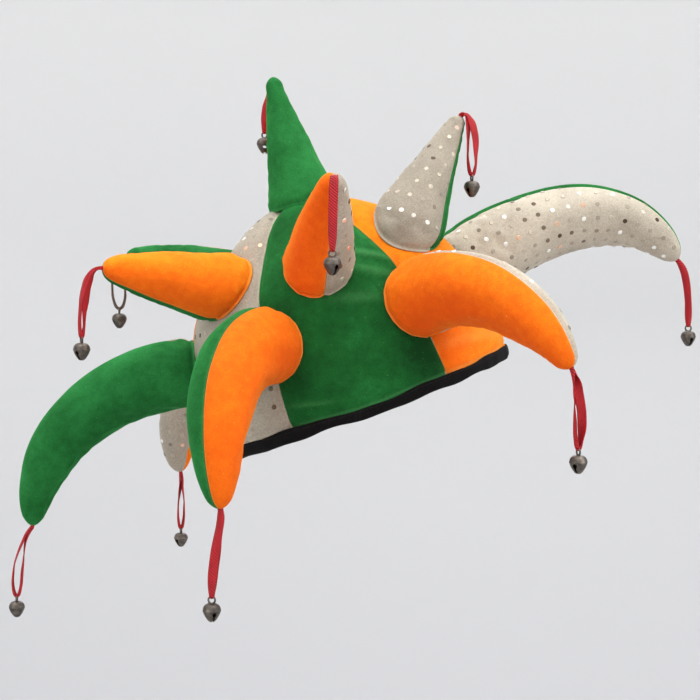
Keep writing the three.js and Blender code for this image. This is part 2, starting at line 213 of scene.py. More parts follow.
def velvet(name, patches, *colours):
    """Short cut pile: soft brushed patches, specks of lint, paler pile where it parts at the hem and
    seams, painted highlight on horn roots and fold ridges, and painted light and shade from the mesh.
    """
    deep, middle, light, pale_edge_and_highlight, sheen = (linear(*colour) for colour in colours)
    finish, place = new_finish(name)
    streak = noise(place, VELVET_STREAK)
    pile = noise(place, VELVET_PILE, 1.0)
    tone = noise(place, VELVET_PATCH, 3.0) * patches + streak * 0.25 + pile * 0.35
    # Painted light and shade carried by the mesh shifts the tone
    tone = tone + mark(place, "painted_light") + 0.2 - 0.5 * patches
    cloth = ramp(tone, TONE_PLACES, (deep, middle, light))
    specks = {0: noise(place, LINT_SIZE, 0.0) * LINT_CRISPNESS, 1: LINT_RARITY * LINT_CRISPNESS}
    lint = place.node("ShaderNodeMath", specks, operation="SUBTRACT", use_clamp=True)
    # Paler where the pile parts at seams and hem, and painted highlight on horn roots and fold ridges;
    # lint flecks on top
    pale = mark(place, "parted_and_highlit") * (pile * 0.8 + 0.3)
    return put_surface(finish, place, {
        "Base Color": mix(pale.math("MAXIMUM", pale, lint * LINT_SHARE), cloth, opaque(pale_edge_and_highlight)),
        "Roughness": 0.8 + 0.2 * pile, "Specular IOR Level": 0.15,
        "Normal": relief(pile + streak * 0.6, 0.55, VELVET_PILE_HEIGHT),
        "Sheen Weight": VELVET_SHEEN, "Sheen Roughness": VELVET_SHEEN_ROUGHNESS,
        "Sheen Tint": opaque(sheen)})


SEQUIN_TONES = (linear(142, 132, 117), linear(170, 159, 142), linear(206, 196, 177))
SEQUIN_EDGE, SEQUIN_SHEEN = linear(232, 224, 200), linear(236, 230, 214)
SEQUIN_PATCH, SEQUIN_FLECK = 30.0, 900.0
WEAVE_PITCH, WEAVE_SCALE, WEAVE_HEIGHT = 0.9 * MM, 0.31, 0.25 * MM


def sequin_cloth(name):
    """Smooth pale knit with a faint shimmer, a loose cream edge where it is cut and sewn, painted
    highlight on horn roots and fold ridges, and painted light and shade from the mesh.
    """
    finish, place = new_finish(name)
    fleck = noise(place, SEQUIN_FLECK)
    # The tone also takes painted light and shade carried by the mesh
    tone = noise(place, SEQUIN_PATCH, 3.0) * 0.6 + fleck * 0.5 + mark(place, "painted_light") - 0.05
    cloth = ramp(tone, TONE_PLACES, SEQUIN_TONES)
    flat = place.node("ShaderNodeUVMap", output="UV", uv_map="cloth")
    flat = place.node("ShaderNodeMapping", {"Vector": flat, "Scale": (1 / WEAVE_PITCH,) * 3}, "Vector")
    rows, cross = (
        place.node("ShaderNodeTexWave", {"Vector": flat, "Scale": WEAVE_SCALE}, bands_direction=way)
        for way in "XY")
    return put_surface(finish, place, {
        # Cream frayed edge at seams and hem, and painted highlight on horn roots and fold ridges
        "Base Color": mix(mark(place, "parted_and_highlit") * (fleck * 0.9 + 0.2), cloth, opaque(SEQUIN_EDGE)),
        "Roughness": 0.5 + 0.25 * fleck, "Specular IOR Level": 0.35,
        "Normal": relief(rows * cross + fleck * 0.6, 0.35, WEAVE_HEIGHT),
        "Sheen Weight": 0.3, "Sheen Roughness": 0.35, "Sheen Tint": opaque(SEQUIN_SHEEN)})


LINING_TONES = (linear(168, 160, 148), linear(206, 199, 186))
LINING_PATCH, LINING_FLECK, LINING_HEIGHT = 25.0, 700.0, 0.2 * MM


def lining_cloth(name):
    """Thin plain-woven lining behind the wadding."""
    finish, place = new_finish(name)
    fleck = noise(place, LINING_FLECK)
    tone = noise(place, LINING_PATCH) * 0.7 + fleck * 0.4 - 0.05
    return put_surface(finish, place, {
        "Base Color": ramp(tone, (0.3, 0.7), LINING_TONES), "Roughness": 0.75 + 0.2 * fleck,
        "Normal": relief(fleck, 0.4, LINING_HEIGHT)})


CLOTHS = {  # for velvet: strength of its patches, deep, middle, light, pale edge and painted highlight, and sheen colours
    "orange": velvet(
        "orange_velvet_pile", 0.3, (228, 84, 10), (246, 110, 15), (255, 150, 26), (255, 190, 96),
        (255, 176, 60)),
    "green": velvet(
        "green_velvet_pile", 0.55, (9, 60, 22), (22, 93, 38), (42, 128, 62), (92, 168, 100),
        (60, 190, 92)),
    "silver": sequin_cloth("sequin_cloth_ground"),
}
LINING = lining_cloth("crown_lining")


def unit(vectors):
    return vectors / np.linalg.norm(vectors, axis=-1, keepdims=True)


def fading(distance, width):
    """A soft round hump, 1 in its middle and fading within about that width."""
    return np.exp(-(distance / width)**2)


def crowded(count, amount):
    """Shares from 0 to 1 that lie closer together at both ends."""
    even = np.linspace(0, 1, count)
    return even - amount * np.sin(2 * math.pi * even) / (2 * math.pi)


def spline_shares(t):
    """How much each of the four rows round a place counts, for a smooth line through all rows."""
    return (
        (-t + 2 * t**2 - t**3) / 2, (2 - 5 * t**2 + 3 * t**3) / 2,
        (t + 4 * t**2 - 3 * t**3) / 2, (t**3 - t**2) / 2)


def read_rows(rows, place):
    """Rows of numbers, read smoothly at places between them."""
    last = len(rows) - 1
    index = np.clip(place.astype(int), 0, last - 1)
    shares = spline_shares((place - index)[..., None])
    return sum(
        share * rows[np.clip(index + step, 0, last)] for step, share in zip((-1, 0, 1, 2), shares))


def crown_profile(share):
    """Height and half length of the crown at a share of the way from the rim to the top."""
    row = read_rows(CROWN_PROFILE, np.clip(share, 0, 1) * (len(CROWN_PROFILE) - 1))
    return row[..., 0], row[..., 1]


PROFILE_SHARES = np.linspace(0, 1, 2001)
PROFILE_HEIGHTS = crown_profile(PROFILE_SHARES)[0]


def crown_share(height):
    return np.interp(height, PROFILE_HEIGHTS, PROFILE_SHARES)


def smooth_crown(azimuth, share):
    height, half_length = crown_profile(share)
    half_width = half_length * CROWN_WIDTH_OVER_LENGTH
    return np.stack([half_length * np.cos(azimuth), half_width * np.sin(azimuth), height], -1)


def crown_normal(azimuth, share, step=0.002):
    low = np.clip(share, 0, 1 - step)
    along = smooth_crown(azimuth + step, low) - smooth_crown(azimuth - step, low)
    upward = smooth_crown(azimuth, low + step) - smooth_crown(azimuth, low)
    return unit(np.cross(along, upward))


def crown_surface(azimuth, share, lift):
    """Points in mm on the tilted crown, at a height over its smooth face."""
    point = smooth_crown(azimuth, share) + crown_normal(azimuth, share) * lift[..., None]
    c, s = math.cos(RIM_TILT), math.sin(RIM_TILT)
    x, y, z = np.moveaxis(point, -1, 0)
    return np.stack([x * c - z * s, y, x * s + z * c], -1)


def soft_lumps(points, size, seed, waves=9):
    """Smooth unevenness from about -1 to 1 at points in mm, with lumps of about that size."""
    rng = np.random.default_rng(seed)
    total = np.zeros(points.shape[:-1])
    for _ in range(waves):
        direction = unit(rng.normal(size=3)) * 2 * math.pi / (size * rng.uniform(0.7, 1.5))
        total += np.sin(points @ direction + rng.uniform(0, 2 * math.pi))
    return total / math.sqrt(waves)


def seam_distance(azimuth, share):
    """Distance in mm to the nearest panel seam, and the share of the panel's width."""
    degrees = np.degrees(azimuth) % 360
    _, half_length = crown_profile(share)
    starts = np.array([row[2] for row in PANELS], float)
    ends = np.array([row[3] for row in PANELS], float)
    index = np.clip(np.searchsorted(ends, degrees, side="left"), 0, len(PANELS) - 1)
    width = ends[index] - starts[index]
    across = (degrees - starts[index]) / width
    arc = np.radians(width) * half_length * (1 + CROWN_WIDTH_OVER_LENGTH) / 2
    return np.minimum(across, 1 - across) * arc, across


def round_rim(azimuth, place):
    """Degrees from a place on the rim, from -180 to 180."""
    return (np.degrees(azimuth) - place + 180) % 360 - 180


def pulled_folds(azimuth, share):
    """Rise of the pulled folds, each a soft ridge with a dip beside it."""
    height, _ = crown_profile(share)
    degree = np.radians(1) * MEAN_RADIUS
    here = np.stack([round_rim(azimuth, 0) * degree, height], -1)
    rise = np.zeros_like(height)
    for turn in (0, 360):
        for start, low, end, high, peak, half_width in PULLS:
            first = np.array([(start - turn) * degree, low])
            line = np.array([(end - turn) * degree, high]) - first
            along = np.clip((here - first) @ line / (line @ line), 0, 1)
            away = here - first - along[..., None] * line
            far = np.linalg.norm(away, axis=-1) / half_width
            dip = PULL_DIP * fading(far - PULL_DIP_PLACE, 1) * (away[..., 1] < 0)
            fade = np.sin(math.pi * np.clip(along, 0.02, 0.98)) ** PULL_FULLNESS
            rise += peak * fade * (fading(far, 1) - dip)
    return rise


def hem_share(azimuth):
    """Height of the binding at each place round the rim, as a share of its full height."""
    dips = (depth * fading(round_rim(azimuth, place), half_width) for place, half_width, depth in HEM_DIPS)
    return HEM_FULL - sum(dips)


def panel_puff(across, share):
    return PANEL_PUFF * np.sin(math.pi * across) * np.sin(math.pi * share)


def crown_lift(azimuth, share):
    """Height of the cloth over the crown's smooth face: its puff, seams, hem, lumps and folds."""
    distance, across = seam_distance(azimuth, share)
    height, _ = crown_profile(share)
    seam = SEAM_DEPTH * fading(distance, SEAM_ROLL)
    hem = HEM_DEPTH * fading(np.maximum(height - HEM_LINE * hem_share(azimuth), 0), HEM_ROLL)
    lumps = LUMP_HEIGHT * soft_lumps(smooth_crown(azimuth, share), LUMP_SIZE, LUMP_SEED)
    over_hem = np.clip((height - HEM_LINE) / SMOOTH_OVER_HEM, 0, 1)
    uneven = over_hem * np.clip((SMOOTH_FROM - height) / SMOOTH_FADE, 0, 1)
    return panel_puff(across, share) - seam - hem + (lumps + pulled_folds(azimuth, share)) * uneven


def crown_skin(azimuth, share):
    return crown_surface(azimuth, share, crown_lift(azimuth, share))


def mesh_piece(name, points, faces, finishes, finish_of_face=None, cloth_map=None, marks=None):
    """A smooth-shaded mesh object from points in mm, at the origin; marks are values at its points."""
    mesh = bpy.data.meshes.new(name)
    mesh.from_pydata((np.asarray(points) * MM).tolist(), [], [list(face) for face in faces])
    mesh.polygons.foreach_set("use_smooth", [True] * len(mesh.polygons))
    for finish in finishes:
        mesh.materials.append(finish)
    if finish_of_face is not None:
        mesh.polygons.foreach_set("material_index", finish_of_face)
    if cloth_map is not None:
        corners = np.zeros(len(mesh.loops), int)
        mesh.loops.foreach_get("vertex_index", corners)
        layer = mesh.uv_layers.new(name="cloth")
        layer.data.foreach_set("uv", (np.asarray(cloth_map)[corners] * MM).ravel())
    for label, values in (marks or {}).items():
        mesh.attributes.new(label, "FLOAT", "POINT").data.foreach_set("value", values)
    mesh.update()
    piece = bpy.data.objects.new(name, mesh)
    bpy.context.scene.collection.objects.link(piece)
    return piece


FLIPPED = [0, 3, 2, 1]  # a quad's corners taken the other way round


def grid_faces(rows, columns, start=0, round_columns=False, round_rows=False):
    """Quads of a grid of points, joined up round either way if asked, and the points' numbers."""
    index = start + np.arange(rows * columns).reshape(rows, columns)
    closed = np.pad(index, ((0, int(round_rows)), (0, int(round_columns))), mode="wrap")
    quads = np.stack([closed[:-1, :-1], closed[:-1, 1:], closed[1:, 1:], closed[1:, :-1]], -1)
    return quads.reshape(-1, 4), index


def edge_of(grid):
    return np.concatenate([grid[0], grid[1:, -1], grid[-1, -2::-1], grid[-2:0:-1, 0]])


def shell_faces(rows, columns):
    """Faces of a closed wall: an outer grid, an inner grid and the strip round the edge."""
    outer, top = grid_faces(rows, columns)
    inner, under = grid_faces(rows, columns, rows * columns)
    edge, back = edge_of(top), edge_of(under)
    strip = np.stack([edge, back, np.roll(back, -1), np.roll(edge, -1)], -1)
    return outer, inner[:, ::-1], strip


columns = crowded(PANEL_COLUMNS, COLUMN_CROWDING)
rows = np.linspace(0, 1, PANEL_ROWS) ** ROW_CROWDING
faces = shell_faces(PANEL_ROWS, PANEL_COLUMNS)
for place, cloth, start, end in PANELS:
    foot = crown_share(PANEL_FOOT * hem_share(np.radians(start + (end - start) * columns)))[None]
    share = foot + (PANEL_TOP_SHARE - foot) * rows[:, None]
    height, half_length = crown_profile(share)
    inset = SEAM_GAP / 2 / (half_length * CROWN_WIDTH_OVER_LENGTH)
    first, last = math.radians(start) + inset, math.radians(end) - inset
    azimuth = first + (last - first) * columns
    outer = crown_skin(azimuth, share)
    across = (np.degrees(azimuth) - start) / (end - start)
    inner = crown_surface(azimuth, share, panel_puff(across, share) - PANEL_WALL)
    to_seam, _ = seam_distance(azimuth, share)
    over_hem = height - HEM_LINE * hem_share(azimuth)
    parted_and_highlit = PARTED_HEM * fading(over_hem - PARTED_HEM_PLACE, PARTED_HEM_WIDTH)
    parted_and_highlit = parted_and_highlit + PARTED_SEAMS[cloth] * fading(to_seam, PARTED_SEAM_WIDTH)
    # Painted highlight along the ridges of the pulled folds
    parted_and_highlit = parted_and_highlit + FOLD_HIGHLIGHT * np.clip(pulled_folds(azimuth, share), 0, 1)
    # Painted light and shade: the panel's own shift, and lighter where it faces up
    painted_light = PANEL_PAINTED_LIGHT.get(place, 0.0) + TOP_LIGHT_RISES[cloth] * unit(outer - inner)[..., 2]
    # Painted shadows of the horns, on the velvet panels only
    if cloth != "silver":
        for shade_azimuth, level, reach, rise, amount in PAINTED_SHADOWS:
            far = (round_rim(azimuth, shade_azimuth) / reach)**2 + ((height - level) / rise)**2
            painted_light = painted_light + amount * np.exp(-far)
    flat = np.stack([azimuth * half_length * GIRTH_SHARE, share * PANEL_LENGTH], -1)
    piece = mesh_piece(
        f"crown_{place}", np.concatenate([outer.reshape(-1, 3), inner.reshape(-1, 3)]),
        np.concatenate(faces), [CLOTHS[cloth], LINING],
        np.repeat([0, 1, 0], [len(part) for part in faces]),
        np.tile(flat.reshape(-1, 2), (2, 1)),
        {"parted_and_highlit": np.tile(np.clip(parted_and_highlit, 0, 1).ravel(), 2), "painted_light": np.tile(painted_light.ravel(), 2)})
    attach(piece, "root")
    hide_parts(f"panel_{place}")


# Rim band
# The raw hem is bound with one strip of black stretch tape, folded over the edge.
# It is sewn on under tension, so both of its edges wander a little, and it stands just proud.
BAND_COLUMNS, BAND_HEIGHT, BAND_RIB, BAND_RIB_HEIGHT = 420, 9.0, 1.1 * MM, 0.25 * MM
BAND_SECTION = np.array([  # lift from the crown's face, height; folded over the crown's edge
    (0.2, 9.2), (0.75, 9.0), (1.05, 8.2), (1.2, 6.6), (1.25, 5.0), (1.2, 3.2), (1.0, 1.4),
    (0.4, 0.2), (-0.8, -0.3), (-2.2, -0.2), (-3.3, 0.6), (-3.9, 2.2), (-4.0, 4.6), (-4.0, 7.0),
    (-3.8, 8.6), (-3.5, 8.9), (-3.35, 8.2), (-3.3, 7.0), (-2.6, 6.6), (-1.6, 6.5), (-0.6, 6.6),
    (0.0, 7.0), (0.1, 8.2),
])
BAND_FACE = 4  # the section's point in the middle of the outer face
BAND_TOP_WANDER, BAND_FOOT_WANDER, BAND_SWELL = 0.45, 0.75, 0.2
TAPE_TONES, TAPE_SHEEN = (linear(9, 8, 8), linear(27, 25, 25)), linear(130, 126, 128)
TAPE_FLECK, TAPE_WEAR = 900.0, 60.0


def on_cloth(place, axis):
    """Distance along one axis of the cloth's own map."""
    flat = place.node("ShaderNodeUVMap", output="UV", uv_map="cloth")
    return place.node("ShaderNodeSeparateXYZ", {"Vector": flat}, axis)


def stretch_tape(name):
    """Black knitted tape: fine upright ribs, a slight bloom and grey wear where it rubs."""
    finish, place = new_finish(name)
    rib = place.math("SINE", on_cloth(place, "X") * (2 * math.pi / BAND_RIB), 0.0) * 0.5 + 0.5
    fleck = noise(place, TAPE_FLECK)
    tone = fleck * 0.5 + noise(place, TAPE_WEAR, 3.0) * 0.4 + rib * 0.12 - 0.05
    return put_surface(finish, place, {
        "Base Color": ramp(tone, (0.3, 0.75), TAPE_TONES), "Roughness": 0.75 + 0.2 * fleck,
        "Normal": relief(rib + fleck * 0.5, 0.5, BAND_RIB_HEIGHT), "Specular IOR Level": 0.12,
        "Sheen Weight": 0.05, "Sheen Roughness": 0.4, "Sheen Tint": opaque(TAPE_SHEEN)})


def closed_wander(azimuth, counts, seed):
    """A smooth random line round the rim that meets itself, from about -1 to 1."""
    rng = np.random.default_rng(seed)
    total = sum(np.sin(azimuth * count + rng.uniform(0, 2 * math.pi)) for count in counts)
    return total / math.sqrt(len(counts))


def band_swell(azimuth):
    return BAND_SWELL * closed_wander(azimuth, (13, 21, 37, 52), 7)


BAND_AZIMUTHS = np.linspace(0, 2 * math.pi, BAND_COLUMNS, endpoint=False)
azimuth = np.repeat(BAND_AZIMUTHS[:, None], len(BAND_SECTION), 1)
section_lift, section_height = BAND_SECTION.T
top_share = section_height / BAND_HEIGHT
top_wander = BAND_TOP_WANDER * closed_wander(azimuth, (5, 8, 13, 21), 5)
foot_wander = BAND_FOOT_WANDER * closed_wander(azimuth, (4, 7, 11, 18), 6)
top_wander = top_wander - BAND_HEIGHT * (1 - hem_share(azimuth))
band_height = section_height + top_share * top_wander + (1 - top_share) * foot_wander
band_points = crown_surface(azimuth, crown_share(band_height), section_lift + band_swell(azimuth))
rim_axis = np.array([-math.sin(RIM_TILT), 0, math.cos(RIM_TILT)])
band_points = band_points + np.minimum(band_height, 0)[..., None] * rim_axis
band_edge = band_points[:, BAND_FACE]
round_length = np.cumsum(np.linalg.norm(band_edge - np.roll(band_edge, 1, 0), axis=1))
band_map = np.stack([np.repeat(round_length[:, None], len(BAND_SECTION), 1), band_height], -1)
rim_band = mesh_piece(
    "binding", band_points.reshape(-1, 3),
    grid_faces(BAND_COLUMNS, len(BAND_SECTION), round_columns=True, round_rows=True)[0],
    [stretch_tape("black_stretch_tape")], cloth_map=band_map.reshape(-1, 2))
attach(rim_band, "root")
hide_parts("rim_band")


# Horns
# Each horn is two cloth halves sewn together along the plane of its curve, turned and stuffed
# with fibre. Its open end is sewn to the crown all round, which draws the cloth in at the root.
HORN_GAP, HORN_CLEARANCE, HORN_DEPTH_OVER_WIDTH, HORN_FILL = 0.3, 0.3, 0.95, 0.85
HORN_COLUMNS, HORN_ROW_LENGTH, HORN_SEAM_WALL, HORN_CAP_RINGS = 56, 1.7, 6, 4
HORN_COLUMN_CROWDING, HORN_ROW_CROWDING = 0.55, 0.7
SPINE_SAMPLES, SPINE_STEP, BEND_STEP = 400, 0.5, 6
TREE_TURNS, TREE_ROWS, TREE_TOP = 360, 160, 0.998
ROOT_SEARCH, ROOT_SEARCH_STEP, ROOT_EVENING = (-30.0, 45.0), 0.5, 21
ROOT_DRAW, ROOT_DRAW_LENGTH = 0.085, 5.0
ROOT_CREASES = {"top": 0.25}  # place: how deep its root is drawn in, where it isn't in full
ROOT_ROLL_HEIGHT, ROOT_ROLL_PLACE, ROOT_ROLL_WIDTH = 0.6, 0.7, 0.8
ROOT_GROOVE_DEPTH, ROOT_GROOVE_PLACE, ROOT_GROOVE_WIDTH = 0.55, 2.6, 1.0
HORN_SEAM_DEPTHS, HORN_SEAM_ROLL = {"orange": 0.9, "green": 0.5, "silver": 1.2}, 2.4
THICK_RADIUS, LEAST_RELIEF = 12, 0.15  # thinner than that radius, all relief shrinks
HORN_LUMP_SIZE, HORN_LUMP_HEIGHT = 34.0, 0.3
PUCKER_HEIGHT, PUCKER_LENGTH, PUCKER_COUNTS = 0.14, 7.0, (9, 13, 17, 22)
INNER_FOLD_HEIGHT, INNER_FOLD_LENGTH, FOLD_WANDER, FOLD_WANDER_SIZE = 0.55, 13.0, 1.5, 40.0
FOLD_SHARPNESS, FOLD_LEAST_BEND, FOLD_OFF_SPINE = 60, 0.35, 6
PLAIN_ROOT, PLAIN_TIP = 8, 10  # lengths over which lumps and folds fade out
# The pale line round the rolled root is painted highlight; the pale line along the join is pile parted at
# the seam
ROOT_HIGHLIGHT, ROOT_HIGHLIGHT_WIDTH, PARTED_JOIN, PARTED_JOIN_WIDTH = 0.5, 0.8, 0.4, 0.7
HORN_SEEDS = {"lumps": 20, "pucker": 40, "stuffing": 60, "folds": 90}
TIP_END_RADIUS = 0.35
STUFF_ROWS, STUFF_COLUMNS, STUFF_END = 44, 32, 0.985
STUFF_SLACK, STUFF_LUMPS, STUFF_CAP = 0.06, 0.35, (-1.6, 2.0)
STUFF_PRESSURE, STUFF_GROWTH, STUFF_FRAMES, STUFF_QUALITY = 4.0, 0.01, 20, 4
TAPERS = {  # share of the way along, share of the root's girth
    "cone": ((0, 1), (0.25, 0.79), (0.5, 0.585), (0.7, 0.42), (0.86, 0.285), (0.955, 0.215)),
    "thumb": ((0, 1), (0.25, 0.87), (0.5, 0.71), (0.75, 0.52), (0.9, 0.38), (0.97, 0.25)),
    "curl": (
        (0, 1), (0.16, 0.99), (0.32, 0.95), (0.48, 0.88), (0.63, 0.78), (0.77, 0.64),
        (0.88, 0.48), (0.965, 0.3)),
    "bulb": (
        (0, 1), (0.16, 0.93), (0.32, 0.87), (0.48, 0.79), (0.63, 0.69), (0.77, 0.56),
        (0.88, 0.43), (0.965, 0.28)),
}
TAPER_SAMPLES, TAPER_EVENING, TAPER_EVEN_TO = 600, 39, 0.93
HORN_PAINTED_LIGHT = {  # place: painted light and shade on each half, lighter or darker as the light falls on it
    "top": (0.16, 0.1), "upper_front": (-0.07, 0), "upper_right": (-0.06, 0), "upper_left": (-0.1, 0.1),
    "upper_rear_right": (0.06, 0), "lower_front_right": (-0.08, 0.1), "lower_front_left": (0.17, 0),
    "lower_rear_right": (-0.11, 0.05), "lower_rear": (0.12, 0)}
HORNS = (  # place, root azimuth and height, girth, taper, root pull, tip, tip pull, side faced, cloths
    ("top", 0, 143, 46, "cone", (-6, 1, 28), (-61, 4, 218), (6, -1, -30),
     (0, -1, 0), ("green", "orange")),
    ("upper_front", -29, 102, 50, "cone", (10, 3, 23), (62, -8, 191), (-11, -2, -23),
     (-0.55, -0.84, 0), ("silver", "green")),
    ("upper_right", -87, 96, 48, "thumb", (3, -24, 13), (-19, -128, 142), (-3, 20, -11),
     (-1, -0.1, -0.12), ("orange", "silver")),
    ("upper_left", 87, 96, 48, "thumb", (3, 24, 13), (-19, 128, 142), (-3, -20, -11),
     (1, -0.1, 0.12), ("orange", "silver")),
    ("upper_rear_right", -140, 103, 47, "thumb", (-24, -12, 4), (-161, -78, 91), (22, 10, -2),
     (0.4, -0.86, 0.3), ("orange", "green")),
    ("upper_rear_left", 137, 105, 47, "thumb", (-25, 12, 9), (-168, 78, 101), (26, -10, -3),
     (-0.4, -0.91, 0), ("green", "silver")),
    ("lower_front_right", -55, 56, 51, "bulb", (28, -36, 17), (116, -146, 33), (-20, 8, 37),
     (-0.67, -0.72, -0.17), ("orange", "silver")),
    ("lower_front_left", 32, 60, 54, "curl", (50, 15, 38), (218, 60, 99), (-43, 2, 56),
     (-0.1, -0.92, -0.3), ("silver", "green")),
    ("lower_rear_right", -115, 60, 48, "curl", (-26, -48, 5), (-83, -155, -46), (-5, 0, 44),
     (0.88, -0.47, 0.1), ("orange", "green")),
    ("lower_rear_left", 115, 58, 52, "curl", (-49, 46, 2), (-138, 150, -59), (-10, 0, 51),
     (-0.68, -0.72, -0.14), ("silver", "orange")),
    ("lower_rear", 180, 60, 46, "curl", (-48, 0, -3), (-220, 0, -78), (4, 0, 67),
     (0, -1, 0), ("green", "silver")),
)


def cubic(t, start, leave, arrive, end):
    """Points of a cubic curve at a column of shares of its way."""
    return (1 - t)**3 * start + 3 * (1 - t)**2 * t * leave + 3 * (1 - t) * t**2 * arrive + t**3 * end


def line_lengths(points):
    """The distance along a line of points to each of them."""
    steps = np.linalg.norm(np.diff(points, axis=0), axis=1)
    return np.concatenate([[0], np.cumsum(steps)])


def evened(values, width, mode, **padding):
    """Values averaged with their neighbours, under a soft hump of an odd width."""
    kernel = np.hanning(width + 2)[1:-1]
    kernel = kernel / kernel.sum()
    return np.convolve(np.pad(values, width // 2, mode=mode, **padding), kernel, "valid")


def crown_tree():
    """The crown's outer face as one closed surface, for finding where a horn meets it."""
    azimuth, share = np.meshgrid(
        np.linspace(0, 2 * math.pi, TREE_TURNS + 1)[:-1], np.linspace(0, TREE_TOP, TREE_ROWS),
        indexing="ij")
    quads = grid_faces(TREE_TURNS, TREE_ROWS, round_rows=True)[0][:, FLIPPED]
    return BVHTree.FromPolygons(crown_skin(azimuth, share).reshape(-1, 3).tolist(), quads.tolist())


CROWN_TREE = crown_tree()


def above_crown(points):
    """Height of points in mm over the crown's outer face, and their feet on it."""
    heights, feet = [], []
    for point in points.reshape(-1, 3):
        foot, normal, _, _ = CROWN_TREE.find_nearest(Vector(point))
        heights.append((Vector(point) - foot).dot(normal))
        feet.append(foot + normal * HORN_CLEARANCE)
    return np.array(heights).reshape(points.shape[:-1]), np.array(feet).reshape(points.shape)


class Horn:
    """The skin of one horn: points at a distance along its spine and an angle round it."""

    def __init__(self, number, row):
        (self.place, azimuth, height, self.girth, self.taper, root_pull, tip, tip_pull,
         faces, self.cloths) = row
        root = crown_surface(
            np.radians([float(azimuth)]), crown_share(np.array([float(height)])),
            np.array([PANEL_PUFF / 2]))[0]
        self.tip, self.number = np.array(tip, float), number
        self.line = cubic(
            np.linspace(0, 1, SPINE_SAMPLES)[:, None], root, root + np.array(root_pull),
            self.tip + np.array(tip_pull), self.tip)
        self.lengths = line_lengths(self.line)
        self.length = self.lengths[-1]
        self.way_in, self.way_out = unit(self.line[1] - self.line[0]), unit(self.line[-1] - self.line[-2])
        self.faces = np.array(faces, float)
        self.crease = ROOT_CREASES.get(self.place, 1.0)
        self.roots = {}
        self.swell = np.zeros((STUFF_ROWS, STUFF_COLUMNS))

    def spine(self, s):
        """Points at distances s along the spine; beyond its ends it goes straight on."""
        points = np.stack([np.interp(s, self.lengths, self.line[:, axis]) for axis in range(3)], -1)
        before = self.way_in * np.minimum(s, 0)[..., None]
        after = self.way_out * np.maximum(s - self.length, 0)[..., None]
        return points + before + after

    def frame(self, s):
        """The spine's points, the way out of the seam plane there and the way across within it."""
        tangent = unit(self.spine(s + SPINE_STEP) - self.spine(s - SPINE_STEP))
        along = np.sum(tangent * self.faces, -1, keepdims=True)
        normal = unit(self.faces - along * tangent)
        return self.spine(s), normal, np.cross(normal, tangent)

    def bend(self, s):
        """Which way the spine bends, and how sharply."""
        before, here, after = (self.spine(s + step) for step in (-BEND_STEP, 0, BEND_STEP))
        return (before + after - 2 * here) / BEND_STEP**2

    def radius(self, s):
        along, share = np.array(TAPERS[self.taper] + ((1.0, 0.0),)).T
        fine = np.linspace(0, 1, TAPER_SAMPLES)
        squares = np.interp(fine, along, share**2)
        body = evened(squares, TAPER_EVENING, "reflect", reflect_type="odd")
        squares = np.where(fine > TAPER_EVEN_TO, squares, np.maximum(body, 0))
        place = np.clip(s / self.length, 0, 1)
        return self.girth / 2 * np.sqrt(np.interp(place, fine, squares))

    def skin(self, s, angle, side, from_root=None):
        """Points in mm on one half: angle 0 and pi are its seams; from_root is s past the root."""
        centre, normal, in_seam = self.frame(s)
        radius = self.radius(s)
        if from_root is None:
            radius = radius * (1 - ROOT_DRAW * self.crease)
        else:
            outward = (
                in_seam * (side * np.cos(angle))[..., None]
                + normal * (side * np.sin(angle))[..., None])
            radius = self.relief(s, angle, side, from_root, centre, outward, radius)
        depth = HORN_GAP / 2 + radius * HORN_DEPTH_OVER_WIDTH * np.sin(angle)
        return (
            centre + in_seam * (side * radius * np.cos(angle))[..., None]
            + normal * (side * depth)[..., None])

    def relief(self, s, angle, side, from_root, centre, outward, radius):
        """The radius with its drawn-in root, seams, puckers, folds, lumps and the stuffing's swell."""
        draw = ROOT_DRAW * fading(from_root, ROOT_DRAW_LENGTH)
        roll = ROOT_ROLL_HEIGHT * fading(from_root - ROOT_ROLL_PLACE, ROOT_ROLL_WIDTH)
        groove = ROOT_GROOVE_DEPTH * fading(from_root - ROOT_GROOVE_PLACE, ROOT_GROOVE_WIDTH)
        shrink = np.clip(radius / THICK_RADIUS, LEAST_RELIEF, 1)
        arc = radius * np.minimum(angle, math.pi - angle)
        depth = HORN_SEAM_DEPTHS[self.cloths[0 if side > 0 else 1]]
        seam = depth * shrink * fading(arc, HORN_SEAM_ROLL * shrink)
        round_angle = angle + (side < 0) * math.pi
        pucker = closed_wander(round_angle, PUCKER_COUNTS, HORN_SEEDS["pucker"] + self.number)
        pucker = PUCKER_HEIGHT * pucker * np.exp(-from_root / PUCKER_LENGTH)
        bend = self.bend(s)
        inside = np.clip(np.sum(unit(bend + 1e-9) * outward, -1), 0, 1) ** 2
        sharp = np.clip(np.linalg.norm(bend, axis=-1) * FOLD_SHARPNESS - FOLD_LEAST_BEND, 0, 1)
        off_spine = centre + FOLD_OFF_SPINE * outward
        phase = FOLD_WANDER * soft_lumps(off_spine, FOLD_WANDER_SIZE, HORN_SEEDS["folds"] + self.number)
        folds = np.sin(2 * math.pi * s / INNER_FOLD_LENGTH + phase)
        folds = INNER_FOLD_HEIGHT * inside * sharp * folds
        lumps = HORN_LUMP_HEIGHT * soft_lumps(
            centre + radius[..., None] * outward, HORN_LUMP_SIZE, HORN_SEEDS["lumps"] + self.number)
        ends = np.clip(from_root / PLAIN_ROOT, 0, 1) * np.clip((self.length - s) / PLAIN_TIP, 0, 1)
        share = from_root / (self.length - s + from_root)
        radius = radius * (1 - draw * self.crease) - seam + (roll - groove) * self.crease + pucker
        radius = radius + self.swell_at(share, round_angle) + (folds + lumps) * ends * shrink
        return np.maximum(radius, TIP_END_RADIUS)

